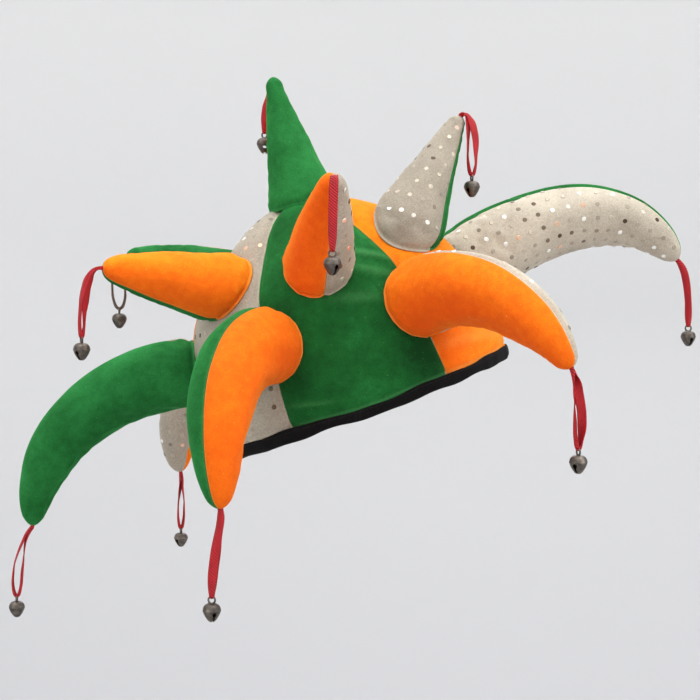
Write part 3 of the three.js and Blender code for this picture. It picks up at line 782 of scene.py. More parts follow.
    def swell_at(self, share, round_angle):
        """How far the stuffing pushes the skin out, at a share of the way from root to tip."""
        along = np.clip(share / STUFF_END, 0, 1) * (STUFF_ROWS - 1)
        turn = round_angle / (2 * math.pi) * STUFF_COLUMNS
        row = np.clip(along.astype(int), 0, STUFF_ROWS - 2)
        column = np.floor(turn).astype(int)
        total = np.zeros_like(along)
        for up, row_share in zip((-1, 0, 1, 2), spline_shares(along - row)):
            for onward, column_share in zip((-1, 0, 1, 2), spline_shares(turn - column)):
                near = np.clip(row + up, 0, STUFF_ROWS - 1), (column + onward) % STUFF_COLUMNS
                total = total + row_share * column_share * self.swell[near]
        return total

    def limp_tube(self):
        """The horn before it is stuffed: a slightly slack tube, and the way out at its points."""
        share, turn = np.meshgrid(
            np.linspace(0, STUFF_END, STUFF_ROWS),
            np.linspace(0, 2 * math.pi, STUFF_COLUMNS, endpoint=False), indexing="ij")
        root = np.where(turn <= math.pi, self.root_at(1, turn), self.root_at(-1, turn - math.pi))
        s = root + (self.length - root) * share
        centre, normal, in_seam = self.frame(s)
        outward = (
            in_seam * np.cos(turn)[..., None]
            + normal * (HORN_DEPTH_OVER_WIDTH * np.sin(turn))[..., None])
        radius = self.radius(s) * (1 - STUFF_SLACK)
        lumps = soft_lumps(
            centre + radius[..., None] * outward, HORN_LUMP_SIZE, HORN_SEEDS["stuffing"] + self.number)
        lumps = STUFF_LUMPS * lumps * np.sin(math.pi * share)
        radius = radius + lumps * np.clip(radius / THICK_RADIUS, 0, 1)
        return centre + radius[..., None] * outward, unit(outward)

    def find_root(self, side, angles):
        """How far along the spine each column of one half meets the crown."""
        steps = np.arange(*ROOT_SEARCH, ROOT_SEARCH_STEP)
        s, angle = np.meshgrid(steps, angles, indexing="ij")
        heights, _ = above_crown(self.skin(s, angle, side))
        under = heights < HORN_CLEARANCE
        last = len(steps) - 1 - np.argmax(under[::-1], 0)
        low = heights[last, np.arange(len(angles))]
        high = heights[np.minimum(last + 1, len(steps) - 1), np.arange(len(angles))]
        share = np.clip((HORN_CLEARANCE - low) / np.maximum(high - low, 1e-6), 0, 1)
        return steps[last] + share * ROOT_SEARCH_STEP

    def even_roots(self):
        """Evens out the line where the horn meets the crown, without flattening its sweep."""
        angles, first = self.roots[1]
        ring = np.concatenate([first[:-1], self.roots[-1][1][:-1]])
        smooth = evened(ring, ROOT_EVENING, "wrap")
        smooth = smooth + evened(ring - smooth, ROOT_EVENING, "wrap")
        half = len(first) - 1
        self.roots = {
            1: (angles, smooth[:half + 1]), -1: (angles, np.append(smooth[half:], smooth[0]))}

    def root_at(self, side, angle):
        angles, roots = self.roots[side]
        return np.interp(angle, angles, roots)


def stuff_horns(horns):
    """Fills the sewn horns by cloth simulation and notes how far each one's skin swells.

    The root ring, both seams and the tip are sewn fast, and the cloth between them is blown up
    from inside. Each ring keeps its mean girth, so only the way it bulges comes from the filling.
    """
    tubes = [horn.limp_tube() for horn in horns]
    points = np.concatenate([tube.reshape(-1, 3) for tube, _ in tubes])
    faces, sewn = [], []
    for number in range(len(horns)):
        start = number * STUFF_ROWS * STUFF_COLUMNS
        quads, index = grid_faces(STUFF_ROWS, STUFF_COLUMNS, start, round_columns=True)
        faces += quads.tolist() + [index[0, ::-1].tolist(), index[-1].tolist()]
        fast = (index[0], index[-1], index[:, 0], index[:, STUFF_COLUMNS // 2])
        sewn += np.concatenate(fast).tolist()
    limp = mesh_piece("limp_horns", points, faces, [])
    limp.vertex_groups.new(name="sewn").add(sorted(set(sewn)), 1.0, "REPLACE")
    cloth = limp.modifiers.new("stuffing", "CLOTH")
    cloth.settings.vertex_group_mass = "sewn"
    cloth.settings.quality = STUFF_QUALITY
    cloth.settings.use_pressure = True
    cloth.settings.uniform_pressure_force = STUFF_PRESSURE
    cloth.settings.shrink_min = -STUFF_GROWTH
    cloth.settings.effector_weights.gravity = 0
    cloth.collision_settings.use_collision = False
    cloth.point_cache.frame_start, cloth.point_cache.frame_end = 1, STUFF_FRAMES
    for frame_number in range(1, STUFF_FRAMES + 1):
        bpy.context.scene.frame_set(frame_number)
    filled = limp.evaluated_get(bpy.context.evaluated_depsgraph_get()).data
    places = np.zeros(len(points) * 3)
    filled.vertices.foreach_get("co", places)
    moved = places.reshape(-1, STUFF_ROWS, STUFF_COLUMNS, 3) / MM
    bpy.context.scene.frame_set(1)
    bpy.data.objects.remove(limp)
    for horn, (tube, outward), after in zip(horns, tubes, moved):
        swell = np.sum((after - tube) * outward, -1)
        horn.swell = np.clip(swell - swell.mean(1, keepdims=True), *STUFF_CAP)


def fan(ring, middle):
    """Triangles from a ring of points to the one in its middle."""
    return np.stack([ring, np.roll(ring, -1), np.full(len(ring), middle)], -1).tolist()


def horn_half(horn, side, cloth):
    """One closed half: the outer skin, the wall along the seam plane, and the two ends."""
    angles, roots = horn.roots[side]
    count = int(horn.length / HORN_ROW_LENGTH)
    s = roots[None] + (horn.length - roots[None]) * crowded(count, HORN_ROW_CROWDING)[:, None]
    past = s - roots[None]
    angle = np.repeat(angles[None], count, 0)
    outer = horn.skin(s, angle, side, past)
    wall_share = np.linspace(1, 0, HORN_SEAM_WALL + 2)[1:-1, None]
    wall = outer[:, :1] * (1 - wall_share) + outer[:, -1:] * wall_share
    rings = np.concatenate([outer, wall], 1)
    middle = rings[0].mean(0)
    shares = np.linspace(0, 1, HORN_CAP_RINGS + 1)[1:-1]
    caps = [above_crown(middle + (rings[0] - middle) * share)[1] for share in shares]
    rings = np.concatenate([np.array(caps), rings])
    root_end, tip_end = above_crown(middle[None])[1], rings[-1].mean(0)[None]
    quads, index = grid_faces(*rings.shape[:2], round_columns=True)
    faces = quads.tolist() + fan(index[0, ::-1], index.size) + fan(index[-1], index.size + 1)
    margins = ((len(caps), 0), (0, HORN_SEAM_WALL))
    along, over = (np.pad(part, margins, mode="edge").ravel() for part in (s, angle * horn.girth / 2))
    flat = np.stack([np.append(along, [0, horn.length]), np.append(over, [0, 0])], -1)
    arc = horn.radius(s) * np.minimum(angle, math.pi - angle)
    # Painted highlight round the rolled root, and paler pile parted along the join
    parted_and_highlit = ROOT_HIGHLIGHT * horn.crease * fading(past - ROOT_ROLL_PLACE, ROOT_HIGHLIGHT_WIDTH)
    parted_and_highlit = np.pad(parted_and_highlit + PARTED_JOIN * fading(arc, PARTED_JOIN_WIDTH), margins).ravel()
    upward = unit(rings - rings.mean(1, keepdims=True))[..., 2]
    # Painted light and shade: the half's own shift, and lighter where it faces up
    painted_light = HORN_PAINTED_LIGHT.get(horn.place, (0, 0))[0 if side > 0 else 1] + TOP_LIGHT_RISES[cloth] * upward
    piece = mesh_piece(
        f"stuffed_{horn.place}_{cloth}", np.concatenate([rings.reshape(-1, 3), root_end, tip_end]),
        faces, [CLOTHS[cloth]], cloth_map=flat, marks={
            "parted_and_highlit": np.append(np.clip(parted_and_highlit, 0, 1), [0, 0]), "painted_light": np.append(painted_light, [0, 0])})
    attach(piece, "root")
    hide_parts(f"horn_{horn.place}_{cloth}")


HORN_LIST = [Horn(number, row) for number, row in enumerate(HORNS)]
HORN_HALVES = [
    (horn, side, cloth) for horn in HORN_LIST for side, cloth in zip((1, -1), horn.cloths)]
half_angles = math.pi * crowded(HORN_COLUMNS, HORN_COLUMN_CROWDING)
for horn, side, _ in HORN_HALVES:
    horn.roots[side] = half_angles, horn.find_root(side, half_angles)
for horn in HORN_LIST:
    horn.even_roots()
stuff_horns(HORN_LIST)
for horn, side, cloth in HORN_HALVES:
    horn_half(horn, side, cloth)


# Foil sequin dots
# The pale cloth comes ready made with round foil dots, pressed on in straight rows.
# Each lies a little differently, and each is painted a random tone as painted reflection, so some flash
# white, some look brown and some peach.
DOT_SIZES = {"Dot radius": 1.6 * MM, "Dot height": 0.24 * MM, "Tilt": 0.07, "Seed": 11}
DOT_SIDES, DOT_TOP_SHARE, DOT_CLEAR_OF_HORN = 16, 0.82, 1.6
DOT_ROW, DOT_COLUMN, DOT_EDGE, DOT_WANDER = 10.2, 9.4, 2.6, 0.5
HORN_DOT_START, HORN_DOT_END, HORN_DOT_COLUMNS = 2, 5, np.arange(-7.5, 8)
PANEL_DOT_ROWS, PANEL_DOT_SPAN, PANEL_DOT_FOOT, PANEL_DOT_WANDER = 20, 0.86, 0.1, 0.002
PANEL_DOT_COLUMNS = np.arange(-8, 9)
LEAST_RADIUS, LEAST_ANGLE = 0.5, 0.01
FEEL_STEP, FEEL_TURN, FEEL_RISE = 0.4, 0.004, 0.002  # small steps that show which way a dot faces
# Painted reflection: each dot's place on this scale stands for how brightly its foil catches the light
FOIL_PLACES = (0.0, 0.09, 0.16, 0.3, 0.76, 0.82, 0.94, 0.97)
FOIL_REFLECTION_TONES = (
    (74, 54, 40), (98, 78, 60), (142, 128, 110), (166, 155, 138), (192, 181, 163), (250, 247, 238),
    (255, 253, 246), (234, 190, 158))
FOIL_GRAIN = 2600.0


def foil(name):
    """Pressed metal foil; each dot's own tone, from dark brown to bright silver, is painted reflection."""
    finish, place = new_finish(name)
    tone = mark(place, "foil")
    return put_surface(finish, place, {
        "Base Color": ramp(tone, FOIL_PLACES, [linear(*colour) for colour in FOIL_REFLECTION_TONES]),
        "Metallic": 0.45 + 0.3 * tone, "Roughness": 0.2 + 0.2 * noise(place, FOIL_GRAIN, 1.0)})


def new_tree(name, sizes):
    """A geometry tree's inputs, a mesh and its named sizes, and the way to add a node to it."""
    tree = bpy.data.node_groups.new(name, "GeometryNodeTree")
    tree.interface.new_socket("Geometry", in_out="INPUT", socket_type="NodeSocketGeometry")
    for label, value in sizes.items():
        kind = "NodeSocketInt" if isinstance(value, int) else "NodeSocketFloat"
        tree.interface.new_socket(label, in_out="INPUT", socket_type=kind)
    tree.interface.new_socket("Geometry", in_out="OUTPUT", socket_type="NodeSocketGeometry")
    inputs = tree.nodes.new("NodeGroupInput").outputs
    given = {label: Wire(inputs[label]) for label in ("Geometry", *sizes)}
    return given, given["Geometry"].node


def end_tree(add, geometry, finish):
    """Turns instances into real faces, gives them their finish and ends the tree."""
    real = add("GeometryNodeRealizeInstances", {"Geometry": geometry})
    painted = add("GeometryNodeSetMaterial", {"Geometry": real, "Material": finish})
    add("NodeGroupOutput", {"Geometry": painted})
    return painted.socket.id_data


def bake_tree(name, source, tree, sizes):
    """Runs a tree on a source object and keeps the result as a plain mesh."""
    modifier = source.modifiers.new("made", "NODES")
    modifier.node_group = tree
    for item in tree.interface.items_tree:
        if item.in_out == "INPUT" and item.name in sizes:
            modifier[item.identifier] = sizes[item.name]
    graph = bpy.context.evaluated_depsgraph_get()
    mesh = bpy.data.meshes.new_from_object(
        source.evaluated_get(graph), preserve_all_data_layers=True, depsgraph=graph)
    source.modifiers.remove(modifier)
    bpy.data.objects.remove(source)
    mesh.name = name
    finish = mesh.materials[-1]
    mesh.materials.clear()
    mesh.materials.append(finish)
    mesh.polygons.foreach_set("material_index", [0] * len(mesh.polygons))
    piece = bpy.data.objects.new(name, mesh)
    bpy.context.scene.collection.objects.link(piece)
    return piece


def source_points(name, points, facing, edges=()):
    """Bare points in mm, or lines of them, each with the way that its surface faces."""
    mesh = bpy.data.meshes.new(name)
    mesh.from_pydata((points * MM).tolist(), list(edges), [])
    mesh.attributes.new("facing", "FLOAT_VECTOR", "POINT").data.foreach_set("vector", facing.ravel())
    source = bpy.data.objects.new(name, mesh)
    bpy.context.scene.collection.objects.link(source)
    return source


def facing_of(add):
    return add("GeometryNodeInputNamedAttribute", {"Name": "facing"}, data_type="FLOAT_VECTOR")


def leaning(add, lean, seed):
    """Turns that stand things on the surface, each leaning its own way."""
    flat = add("FunctionNodeAlignRotationToVector", {"Vector": facing_of(add)}, axis="Z")
    spread = {"Min": (-1.0, -1.0, -1.0), "Max": (1.0, 1.0, 1.0), "Seed": seed}
    way = add("FunctionNodeRandomValue", spread, data_type="FLOAT_VECTOR")
    angles = add("ShaderNodeVectorMath", {0: way, "Scale": lean}, operation="SCALE")
    turn = add("FunctionNodeEulerToRotation", {"Euler": angles})
    return add(
        "FunctionNodeRotateRotation", {"Rotation": flat, "Rotate By": turn}, rotation_space="LOCAL")


def dot_tree(finish):
    given, add = new_tree("pressed_dots", DOT_SIZES)
    dot = add("GeometryNodeMeshCone", {
        "Vertices": DOT_SIDES, "Radius Top": given["Dot radius"] * DOT_TOP_SHARE,
        "Radius Bottom": given["Dot radius"], "Depth": given["Dot height"]})
    laid = add("GeometryNodeInstanceOnPoints", {
        "Points": given["Geometry"], "Instance": dot,
        "Rotation": leaning(add, given["Tilt"], given["Seed"])})
    # A random tone for each dot, painted reflection from dark brown to bright white
    tone = add("FunctionNodeRandomValue", {"Seed": given["Seed"]}, 1, data_type="FLOAT")
    toned = add(
        "GeometryNodeStoreNamedAttribute", {"Geometry": laid, "Name": "foil", "Value": tone},
        data_type="FLOAT", domain="INSTANCE")
    return end_tree(add, toned, finish)


def dots_on_horn(horn, side, rng):
    """Rows of dots along one half of a horn, square to its length."""
    s, across = np.meshgrid(
        np.arange(HORN_DOT_START, horn.length - HORN_DOT_END, DOT_ROW),
        HORN_DOT_COLUMNS * DOT_COLUMN, indexing="ij")
    s = s + rng.uniform(-DOT_WANDER, DOT_WANDER, s.shape)
    across = across + rng.uniform(-DOT_WANDER, DOT_WANDER, s.shape)
    radius = np.maximum(horn.radius(s), LEAST_RADIUS)
    angle = np.clip(math.pi / 2 + across / radius, LEAST_ANGLE, math.pi - LEAST_ANGLE)
    room = radius * math.pi / 2 - np.abs(across)
    past = s - horn.root_at(side, angle)
    kept = (room > DOT_EDGE) & (past > DOT_EDGE)
    s, angle, past, radius = s[kept], angle[kept], past[kept], radius[kept]
    here = horn.skin(s, angle, side, past)
    onward = horn.skin(s + FEEL_STEP, angle, side, past + FEEL_STEP)
    beside = horn.skin(s, angle + FEEL_STEP / radius, side, past)
    facing = unit(np.cross(beside - here, onward - here))
    outward = np.sum(facing * (here - horn.spine(s)), -1)
    return here, facing * np.sign(outward)[:, None]


def dots_on_panel(start, end, rng):
    """Rows of dots up one crown panel, clear of its seams, its hem and the horns on it."""
    share, across = np.meshgrid(
        np.linspace(0, 1, PANEL_DOT_ROWS) * PANEL_DOT_SPAN + PANEL_DOT_FOOT,
        PANEL_DOT_COLUMNS * DOT_COLUMN, indexing="ij")
    share = share + rng.uniform(-PANEL_DOT_WANDER, PANEL_DOT_WANDER, share.shape)
    _, half_length = crown_profile(share)
    middle = math.radians((start + end) / 2)
    azimuth = middle + across / (half_length * GIRTH_SHARE)
    azimuth = azimuth + rng.uniform(-DOT_WANDER, DOT_WANDER, share.shape) / half_length
    inside = np.abs(azimuth - middle) < math.radians((end - start) / 2)
    kept = inside & (seam_distance(azimuth, share)[0] > DOT_EDGE)
    azimuth, share = azimuth[kept], share[kept]
    here = crown_skin(azimuth, share)
    beside = crown_skin(azimuth + FEEL_TURN, share)
    above = crown_skin(azimuth, share + FEEL_RISE)
    facing = unit(np.cross(beside - here, above - here))
    clear = clear_of_horns(here)
    return here[clear], facing[clear]


HORN_TREES = [
    BVHTree.FromObject(piece, bpy.context.evaluated_depsgraph_get())
    for piece in bpy.context.scene.objects if piece.name.startswith("stuffed_")]


def clear_of_horns(points):
    """Which points in mm aren't covered by a horn or close beside one."""
    near = DOT_CLEAR_OF_HORN * MM
    return np.array([
        not any(tree.find_nearest(Vector(point * MM), near)[0] for tree in HORN_TREES)
        for point in points])


rng = np.random.default_rng(DOT_SIZES["Seed"])
dot_places = [dots_on_horn(horn, side, rng) for horn, side, cloth in HORN_HALVES if cloth == "silver"]
dot_places += [dots_on_panel(start, end, rng) for _, cloth, start, end in PANELS if cloth == "silver"]
points, facing = (np.concatenate(part) for part in zip(*dot_places))
sequin_dots = bake_tree(
    "sequin_dots", source_points("dot_places", points, facing), dot_tree(foil("foil_painted_reflections")), DOT_SIZES)
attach(sequin_dots, "root")


# Sewing thread
# Small hand stitches hold each horn's root to the crown, in a thread that matches its cloth.
# A straight machine stitch in black thread runs round the binding, just under its top edge.
ROOT_STITCH = {"Length": 2.4 * MM, "Pitch": 3.4 * MM, "Rise": 0.16 * MM, "Thread": 0.16 * MM}
HEM_STITCH = {**ROOT_STITCH, "Length": 2.6 * MM}
HEM_STITCH_HEIGHT, HEM_STITCH_LIFT, ROOT_LINE_SPARE = 7.4, 1.1, 2
STITCH_STEPS, THREAD_SIDES, THREAD_TWIST, THREAD_PALENESS = 4, 6, 2400.0, 1.5
THREADS = {
    "orange": linear(214, 88, 16), "green": linear(20, 78, 38), "silver": linear(158, 147, 130),
    "black": linear(24, 22, 23)}


def thread_finish(name, colour):
    """Twisted cotton thread."""
    finish, place = new_finish(name)
    twist = noise(place, THREAD_TWIST, 1.0)
    pale = tuple(min(1.0, THREAD_PALENESS * value) for value in colour)
    return put_surface(finish, place, {
        "Base Color": ramp(twist, (0.3, 0.75), (colour, pale)), "Roughness": 0.65 + 0.25 * twist,
        "Specular IOR Level": 0.2})


def spots_along(given, add):
    """Places at an even pitch along the lines that come in."""
    line = add("GeometryNodeMeshToCurve", {"Mesh": given["Geometry"]})
    return add("GeometryNodeResampleCurve", {"Curve": line, "Length": given["Pitch"]}, mode="LENGTH")


def stitches(colour, sizes):
    """A tree that lays short bows of thread along lines."""
    given, add = new_tree(f"{colour}_stitches", sizes)
    first, last = (add("ShaderNodeCombineXYZ", {"X": given["Length"] * half}) for half in (-0.5, 0.5))
    high = add("ShaderNodeCombineXYZ", {"Z": given["Rise"]})
    bow = add("GeometryNodeCurveQuadraticBezier", {
        "Resolution": STITCH_STEPS, "Start": first, "Middle": high, "End": last})
    ring = add("GeometryNodeCurvePrimitiveCircle", {"Resolution": THREAD_SIDES, "Radius": given["Thread"]})
    stitch = add("GeometryNodeCurveToMesh", {"Curve": bow, "Profile Curve": ring, "Fill Caps": True})
    way = add("GeometryNodeInputTangent")
    along = add("FunctionNodeAlignRotationToVector", {"Vector": way}, axis="X")
    upright = {"Rotation": along, "Vector": facing_of(add)}
    laid = add("GeometryNodeInstanceOnPoints", {
        "Points": spots_along(given, add), "Instance": stitch,
        "Rotation": add("FunctionNodeAlignRotationToVector", upright, axis="Z", pivot_axis="X")})
    return end_tree(add, laid, thread_finish(f"{colour}_thread", THREADS[colour]))


def laid_along(name, lines, tree, sizes):
    """A row of stitches or fibres along each line of points; a line that closes says so."""
    points = np.concatenate([line for line, _, _ in lines])
    facing = np.concatenate([face for _, face, _ in lines])
    edges, start = [], 0
    for line, _, closed in lines:
        numbers = list(range(start, start + len(line)))
        edges += list(zip(numbers, numbers[1:] + ([numbers[0]] if closed else [])))
        start += len(line)
    piece = bake_tree(name, source_points(name + "_lines", points, facing, edges), tree, sizes)
    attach(piece, "root")


def root_line(horn, side):
    """The groove along one half's root that its stitches lie in, and the way out of it."""
    angles, roots = (part[ROOT_LINE_SPARE:-ROOT_LINE_SPARE] for part in horn.roots[side])
    past = np.full_like(angles, ROOT_GROOVE_PLACE)
    groove = horn.skin(roots + past, angles, side, past)
    return groove, unit(groove - horn.spine(roots + past)), False


for cloth, slot in SLOTS.items():
    lines = [root_line(horn, side) for horn, side, half_cloth in HORN_HALVES if half_cloth == cloth]
    laid_along(f"root_stitches_{cloth}", lines, stitches(cloth, ROOT_STITCH), ROOT_STITCH)
sewn_share = crown_share(HEM_STITCH_HEIGHT * hem_share(BAND_AZIMUTHS))
hem_swell = band_swell(BAND_AZIMUTHS)
hem_line = crown_surface(BAND_AZIMUTHS, sewn_share, HEM_STITCH_LIFT + hem_swell)
hem_facing = unit(hem_line - crown_surface(BAND_AZIMUTHS, sewn_share, hem_swell))
hem_lines = [(hem_line, hem_facing, True)]
laid_along("binding_stitches", hem_lines, stitches("black", HEM_STITCH), HEM_STITCH)


# Loose fibres
# The velvet's pile and the pale cloth's cut edge stand over the top of the binding round the hem.
# Along its seams the pale cloth frays into short cream threads.
FIBRE_SIDES, FIBRE_LEAST = 3, 0.4
HEM_FIBRES = {
    "Pitch": 0.26 * MM, "Length": 1.5 * MM, "Thickness": 0.12 * MM, "Lean": 0.55, "Seed": 21}
HEM_FIBRE_HEIGHT, HEM_FIBRE_DROOP, HEM_FIBRE_STEP = 9.4, 0.9, 0.4
FRAYED_FIBRES = {
    "Pitch": 0.45 * MM, "Length": 1.9 * MM, "Thickness": 0.11 * MM, "Lean": 0.8, "Seed": 22}
FRAYED_INSET, FRAYED_STEPS, FRAYED_SPAN = 0.7, 260, (0.08, 0.96)
FIBRE_COLOURS = {
    "orange": linear(255, 146, 50), "green": linear(50, 122, 68), "silver": linear(222, 212, 190)}


def fibres(name, colour, sizes):
    """A tree that stands fine pointed hairs along lines."""
    given, add = new_tree(name, sizes)
    fibre = add("GeometryNodeMeshCone", {
        "Vertices": FIBRE_SIDES, "Radius Top": 0.0, "Radius Bottom": given["Thickness"],
        "Depth": given["Length"]})
    lengths = {2: FIBRE_LEAST, 3: 1.0, "Seed": given["Seed"]}
    laid = add("GeometryNodeInstanceOnPoints", {
        "Points": spots_along(given, add), "Instance": fibre,
        "Scale": add("FunctionNodeRandomValue", lengths, 1, data_type="FLOAT"),
        "Rotation": leaning(add, given["Lean"], given["Seed"])})
    return end_tree(add, laid, thread_finish(name, FIBRE_COLOURS[colour]))


def crown_wall(azimuth, share):
    """Points behind the crown's cloth, on its lining."""
    return crown_surface(azimuth, share, np.full_like(share, -PANEL_WALL))


def hem_edge(start, end):
    """The line over the binding along one panel, with the way that its pile stands."""
    azimuth = np.radians(np.arange(start + HEM_FIBRE_STEP, end, HEM_FIBRE_STEP))
    share = crown_share(HEM_FIBRE_HEIGHT * hem_share(azimuth))
    line = crown_skin(azimuth, share)
    out = unit(line - crown_wall(azimuth, share))
    down = unit(crown_skin(azimuth, share - share.min() / 4) - line)
    return line, unit(out + HEM_FIBRE_DROOP * down), False


def frayed_seam(seam, inside):
    """The stretches of a seam that no horn covers, with the way that its threads stand."""
    share = np.linspace(*FRAYED_SPAN, FRAYED_STEPS)
    inset = inside * FRAYED_INSET / crown_profile(share)[1]
    line = crown_skin(math.radians(seam) + inset, share)
    over = crown_skin(math.radians(seam) - inset, share)
    outward = line - crown_wall(math.radians(seam) + inset, share)
    facing = unit(unit(over - line) + unit(outward))
    clear = clear_of_horns(line)
    runs = np.split(np.arange(len(line)), np.flatnonzero(np.diff(clear)) + 1)
    return [(line[run], facing[run], False) for run in runs if clear[run[0]] and len(run) > 1]


for cloth, slot in SLOTS.items():
    name = f"hem_pile_{cloth}"
    lines = [hem_edge(start, end) for _, panel_cloth, start, end in PANELS if panel_cloth == cloth]
    laid_along(name, lines, fibres(name, cloth, HEM_FIBRES), HEM_FIBRES)
frayed = []
for _, cloth, start, end in PANELS:
    if cloth == "silver":
        frayed += frayed_seam(start, 1) + frayed_seam(end, -1)
frayed_tree = fibres("frayed_silver", "silver", FRAYED_FIBRES)
laid_along("frayed_edges", frayed, frayed_tree, FRAYED_FIBRES)


# Jingle bells
# Each bell is stamped from thin sheet in two cups crimped together, and plated antique bronze.
# A slot with round ends opens its foot, a loose pellet rings in it, and a wire shank holds it.
BELL_PROFILE = np.array([  # radius, height from the bell's own middle
    (0.0, -6.0), (1.1, -5.75), (2.2, -5.0), (3.4, -3.35), (4.4, -1.6), (5.0, 0.1), (5.12, 1.2),
    (4.85, 2.6), (4.0, 3.85), (2.6, 4.65), (1.2, 4.8), (0.0, 4.5)])
BELL_SEGMENTS, BELL_STEPS, BELL_SHEET = 44, 40, 0.45
CRIMP_HEIGHT, CRIMP_RISE, CRIMP_HALF_WIDTH = 0.7, 0.2, 0.35
SLOT_WIDTH, SLOT_TOP, SLOT_TURN, SLOT_REACH = 1.3, -1.2, math.radians(35), 20.0
HOLE_RADIUS, HOLE_SIDES = 1.3, 28
SHANK_HOLE, SHANK_WIRE, SHANK_OVER_MIDDLE, SHANK_BELOW_RIBBON = 1.4, 0.58, 6.7, 0.6
SHANK_TURNS, SHANK_SIDES = 30, 10
PELLET_RADIUS, PELLET_PLACE, PELLET_ROWS, PELLET_SIDES = 1.6, np.array([0.25, 0.1, -3.35]), 10, 16
SHARP_EDGE = math.radians(34)
BRONZE_TONES = (linear(64, 60, 56), linear(98, 91, 84), linear(146, 136, 124))
BRONZE_PATCH, BRONZE_FLECK, BRONZE_GRAIN_HEIGHT = 260.0, 1900.0, 0.12 * MM
DROPS = {  # place: ribbon's lead, its drop to the bell, and its turn in degrees
    "top": ((1, 7, -6), (-6, 14, -36), 60),
    "upper_front": ((8, -2, 5), (7, -8, -40), 15),
    "upper_right": ((0, -9, 5), (-1, -8, -43), 90),
    "upper_left": ((0, 9, 5), (-1, 8, -43), 90),
    "upper_rear_right": ((-9, -4, 1), (-12, -5, -43), 25),
    "upper_rear_left": ((-9, 4, 2), (-6, 5, -37), 0),
    "lower_front_right": ((3, -1, -8), (4, -1, -47), 20),
    "lower_front_left": ((7, 0, -8), (8, 0, -47), 75),
    "lower_rear_right": ((1, 0, -8), (-5, -1, -51), 80),
    "lower_rear_left": ((1, 0, -8), (0, 1, -44), 20),
    "lower_rear": ((-7, 0, -6), (-11, 0, -48), 0),
}


def antique_bronze(name):
    """Dark plating in soft random patches of warmer and darker grey."""
    finish, place = new_finish(name)
    patch = noise(place, BRONZE_PATCH, 3.0)
    fleck = noise(place, BRONZE_FLECK)
    return put_surface(finish, place, {
        "Base Color": ramp(patch * 0.8 + fleck * 0.4 - 0.1, TONE_PLACES, BRONZE_TONES),
        "Metallic": 0.75 + 0.2 * patch, "Roughness": 0.34 + 0.3 * fleck - 0.08 * patch,
        "Normal": relief(fleck, 0.25, BRONZE_GRAIN_HEIGHT)})


def turns(count):
    """Angles all the way round, without the last."""
    return np.linspace(0, 2 * math.pi, count, endpoint=False)


def turned_round(points, angle):
    """Points turned about the upright axis."""
    c, s = math.cos(angle), math.sin(angle)
    return points @ np.array([[c, s, 0], [-s, c, 0], [0, 0, 1]])


def turned_cup(profile, sides, start):
    """A closed turned surface from foot to top, its points numbered from a start."""
    points = [(0.0, 0.0, profile[0, 1])]
    points += [(r * math.cos(a), r * math.sin(a), h) for r, h in profile[1:-1] for a in turns(sides)]
    points.append((0.0, 0.0, profile[-1, 1]))
    quads, index = grid_faces(len(profile) - 2, sides, start + 1, round_columns=True)
    faces = quads.tolist() + fan(index[0, ::-1], start) + fan(index[-1], index[-1, -1] + 1)
    return np.array(points), faces


def bell_cutters():
    """The slot across the foot and the round holes at its two ends, as one body each."""
    half, reach = SLOT_WIDTH / 2, SLOT_REACH / 2
    heights = (SLOT_TOP - SLOT_REACH, SLOT_TOP)
    box = [(x, y, z) for z in heights for y in (-half, half) for x in (-reach, reach)]
    box_faces = [(0, 2, 3, 1), (4, 5, 7, 6), (0, 1, 5, 4), (2, 6, 7, 3), (0, 4, 6, 2), (1, 3, 7, 5)]
    drill = [
        (x, HOLE_RADIUS * math.cos(a), SLOT_TOP + HOLE_RADIUS * math.sin(a))
        for x in (-reach, reach) for a in turns(HOLE_SIDES)]
    quads, index = grid_faces(2, HOLE_SIDES, round_columns=True)
    drill_faces = quads.tolist() + [index[0, ::-1].tolist(), index[1].tolist()]
    bodies = (("slot", box, box_faces), ("drill", drill, drill_faces))
    return [
        mesh_piece(name, turned_round(np.array(points), SLOT_TURN), faces, [])
        for name, points, faces in bodies]


def bell_shell():
    """The cut shell: a crimped outer cup and a plain inner one, with the slot and holes taken out."""
    outer = read_rows(BELL_PROFILE, np.linspace(0, len(BELL_PROFILE) - 1, BELL_STEPS))
    outer[:, 0] = np.maximum(outer[:, 0], 0)
    way = np.gradient(outer, axis=0)
    out = unit(np.stack([way[:, 1], -way[:, 0]], -1))
    crimp = CRIMP_RISE * fading(outer[:, 1] - CRIMP_HEIGHT, CRIMP_HALF_WIDTH)
    inner = outer - out * BELL_SHEET
    inner[:, 0] = np.maximum(inner[:, 0], 0)
    points, faces = turned_cup(outer + out * crimp[:, None], BELL_SEGMENTS, 0)
    more, more_faces = turned_cup(inner, BELL_SEGMENTS, len(points))
    faces += [face[::-1] for face in more_faces]
    shell = mesh_piece("shell", np.concatenate([points, more]), faces, [])
    cutters = bell_cutters()
    for cutter in cutters:
        cut = shell.modifiers.new(cutter.name, "BOOLEAN")
        cut.operation, cut.solver, cut.object = "DIFFERENCE", "EXACT", cutter
    graph = bpy.context.evaluated_depsgraph_get()
    mesh = bpy.data.meshes.new_from_object(shell.evaluated_get(graph))
    for spare in (shell, *cutters):
        bpy.data.objects.remove(spare)
    return np.array([v.co for v in mesh.vertices]) / MM, [list(p.vertices) for p in mesh.polygons]


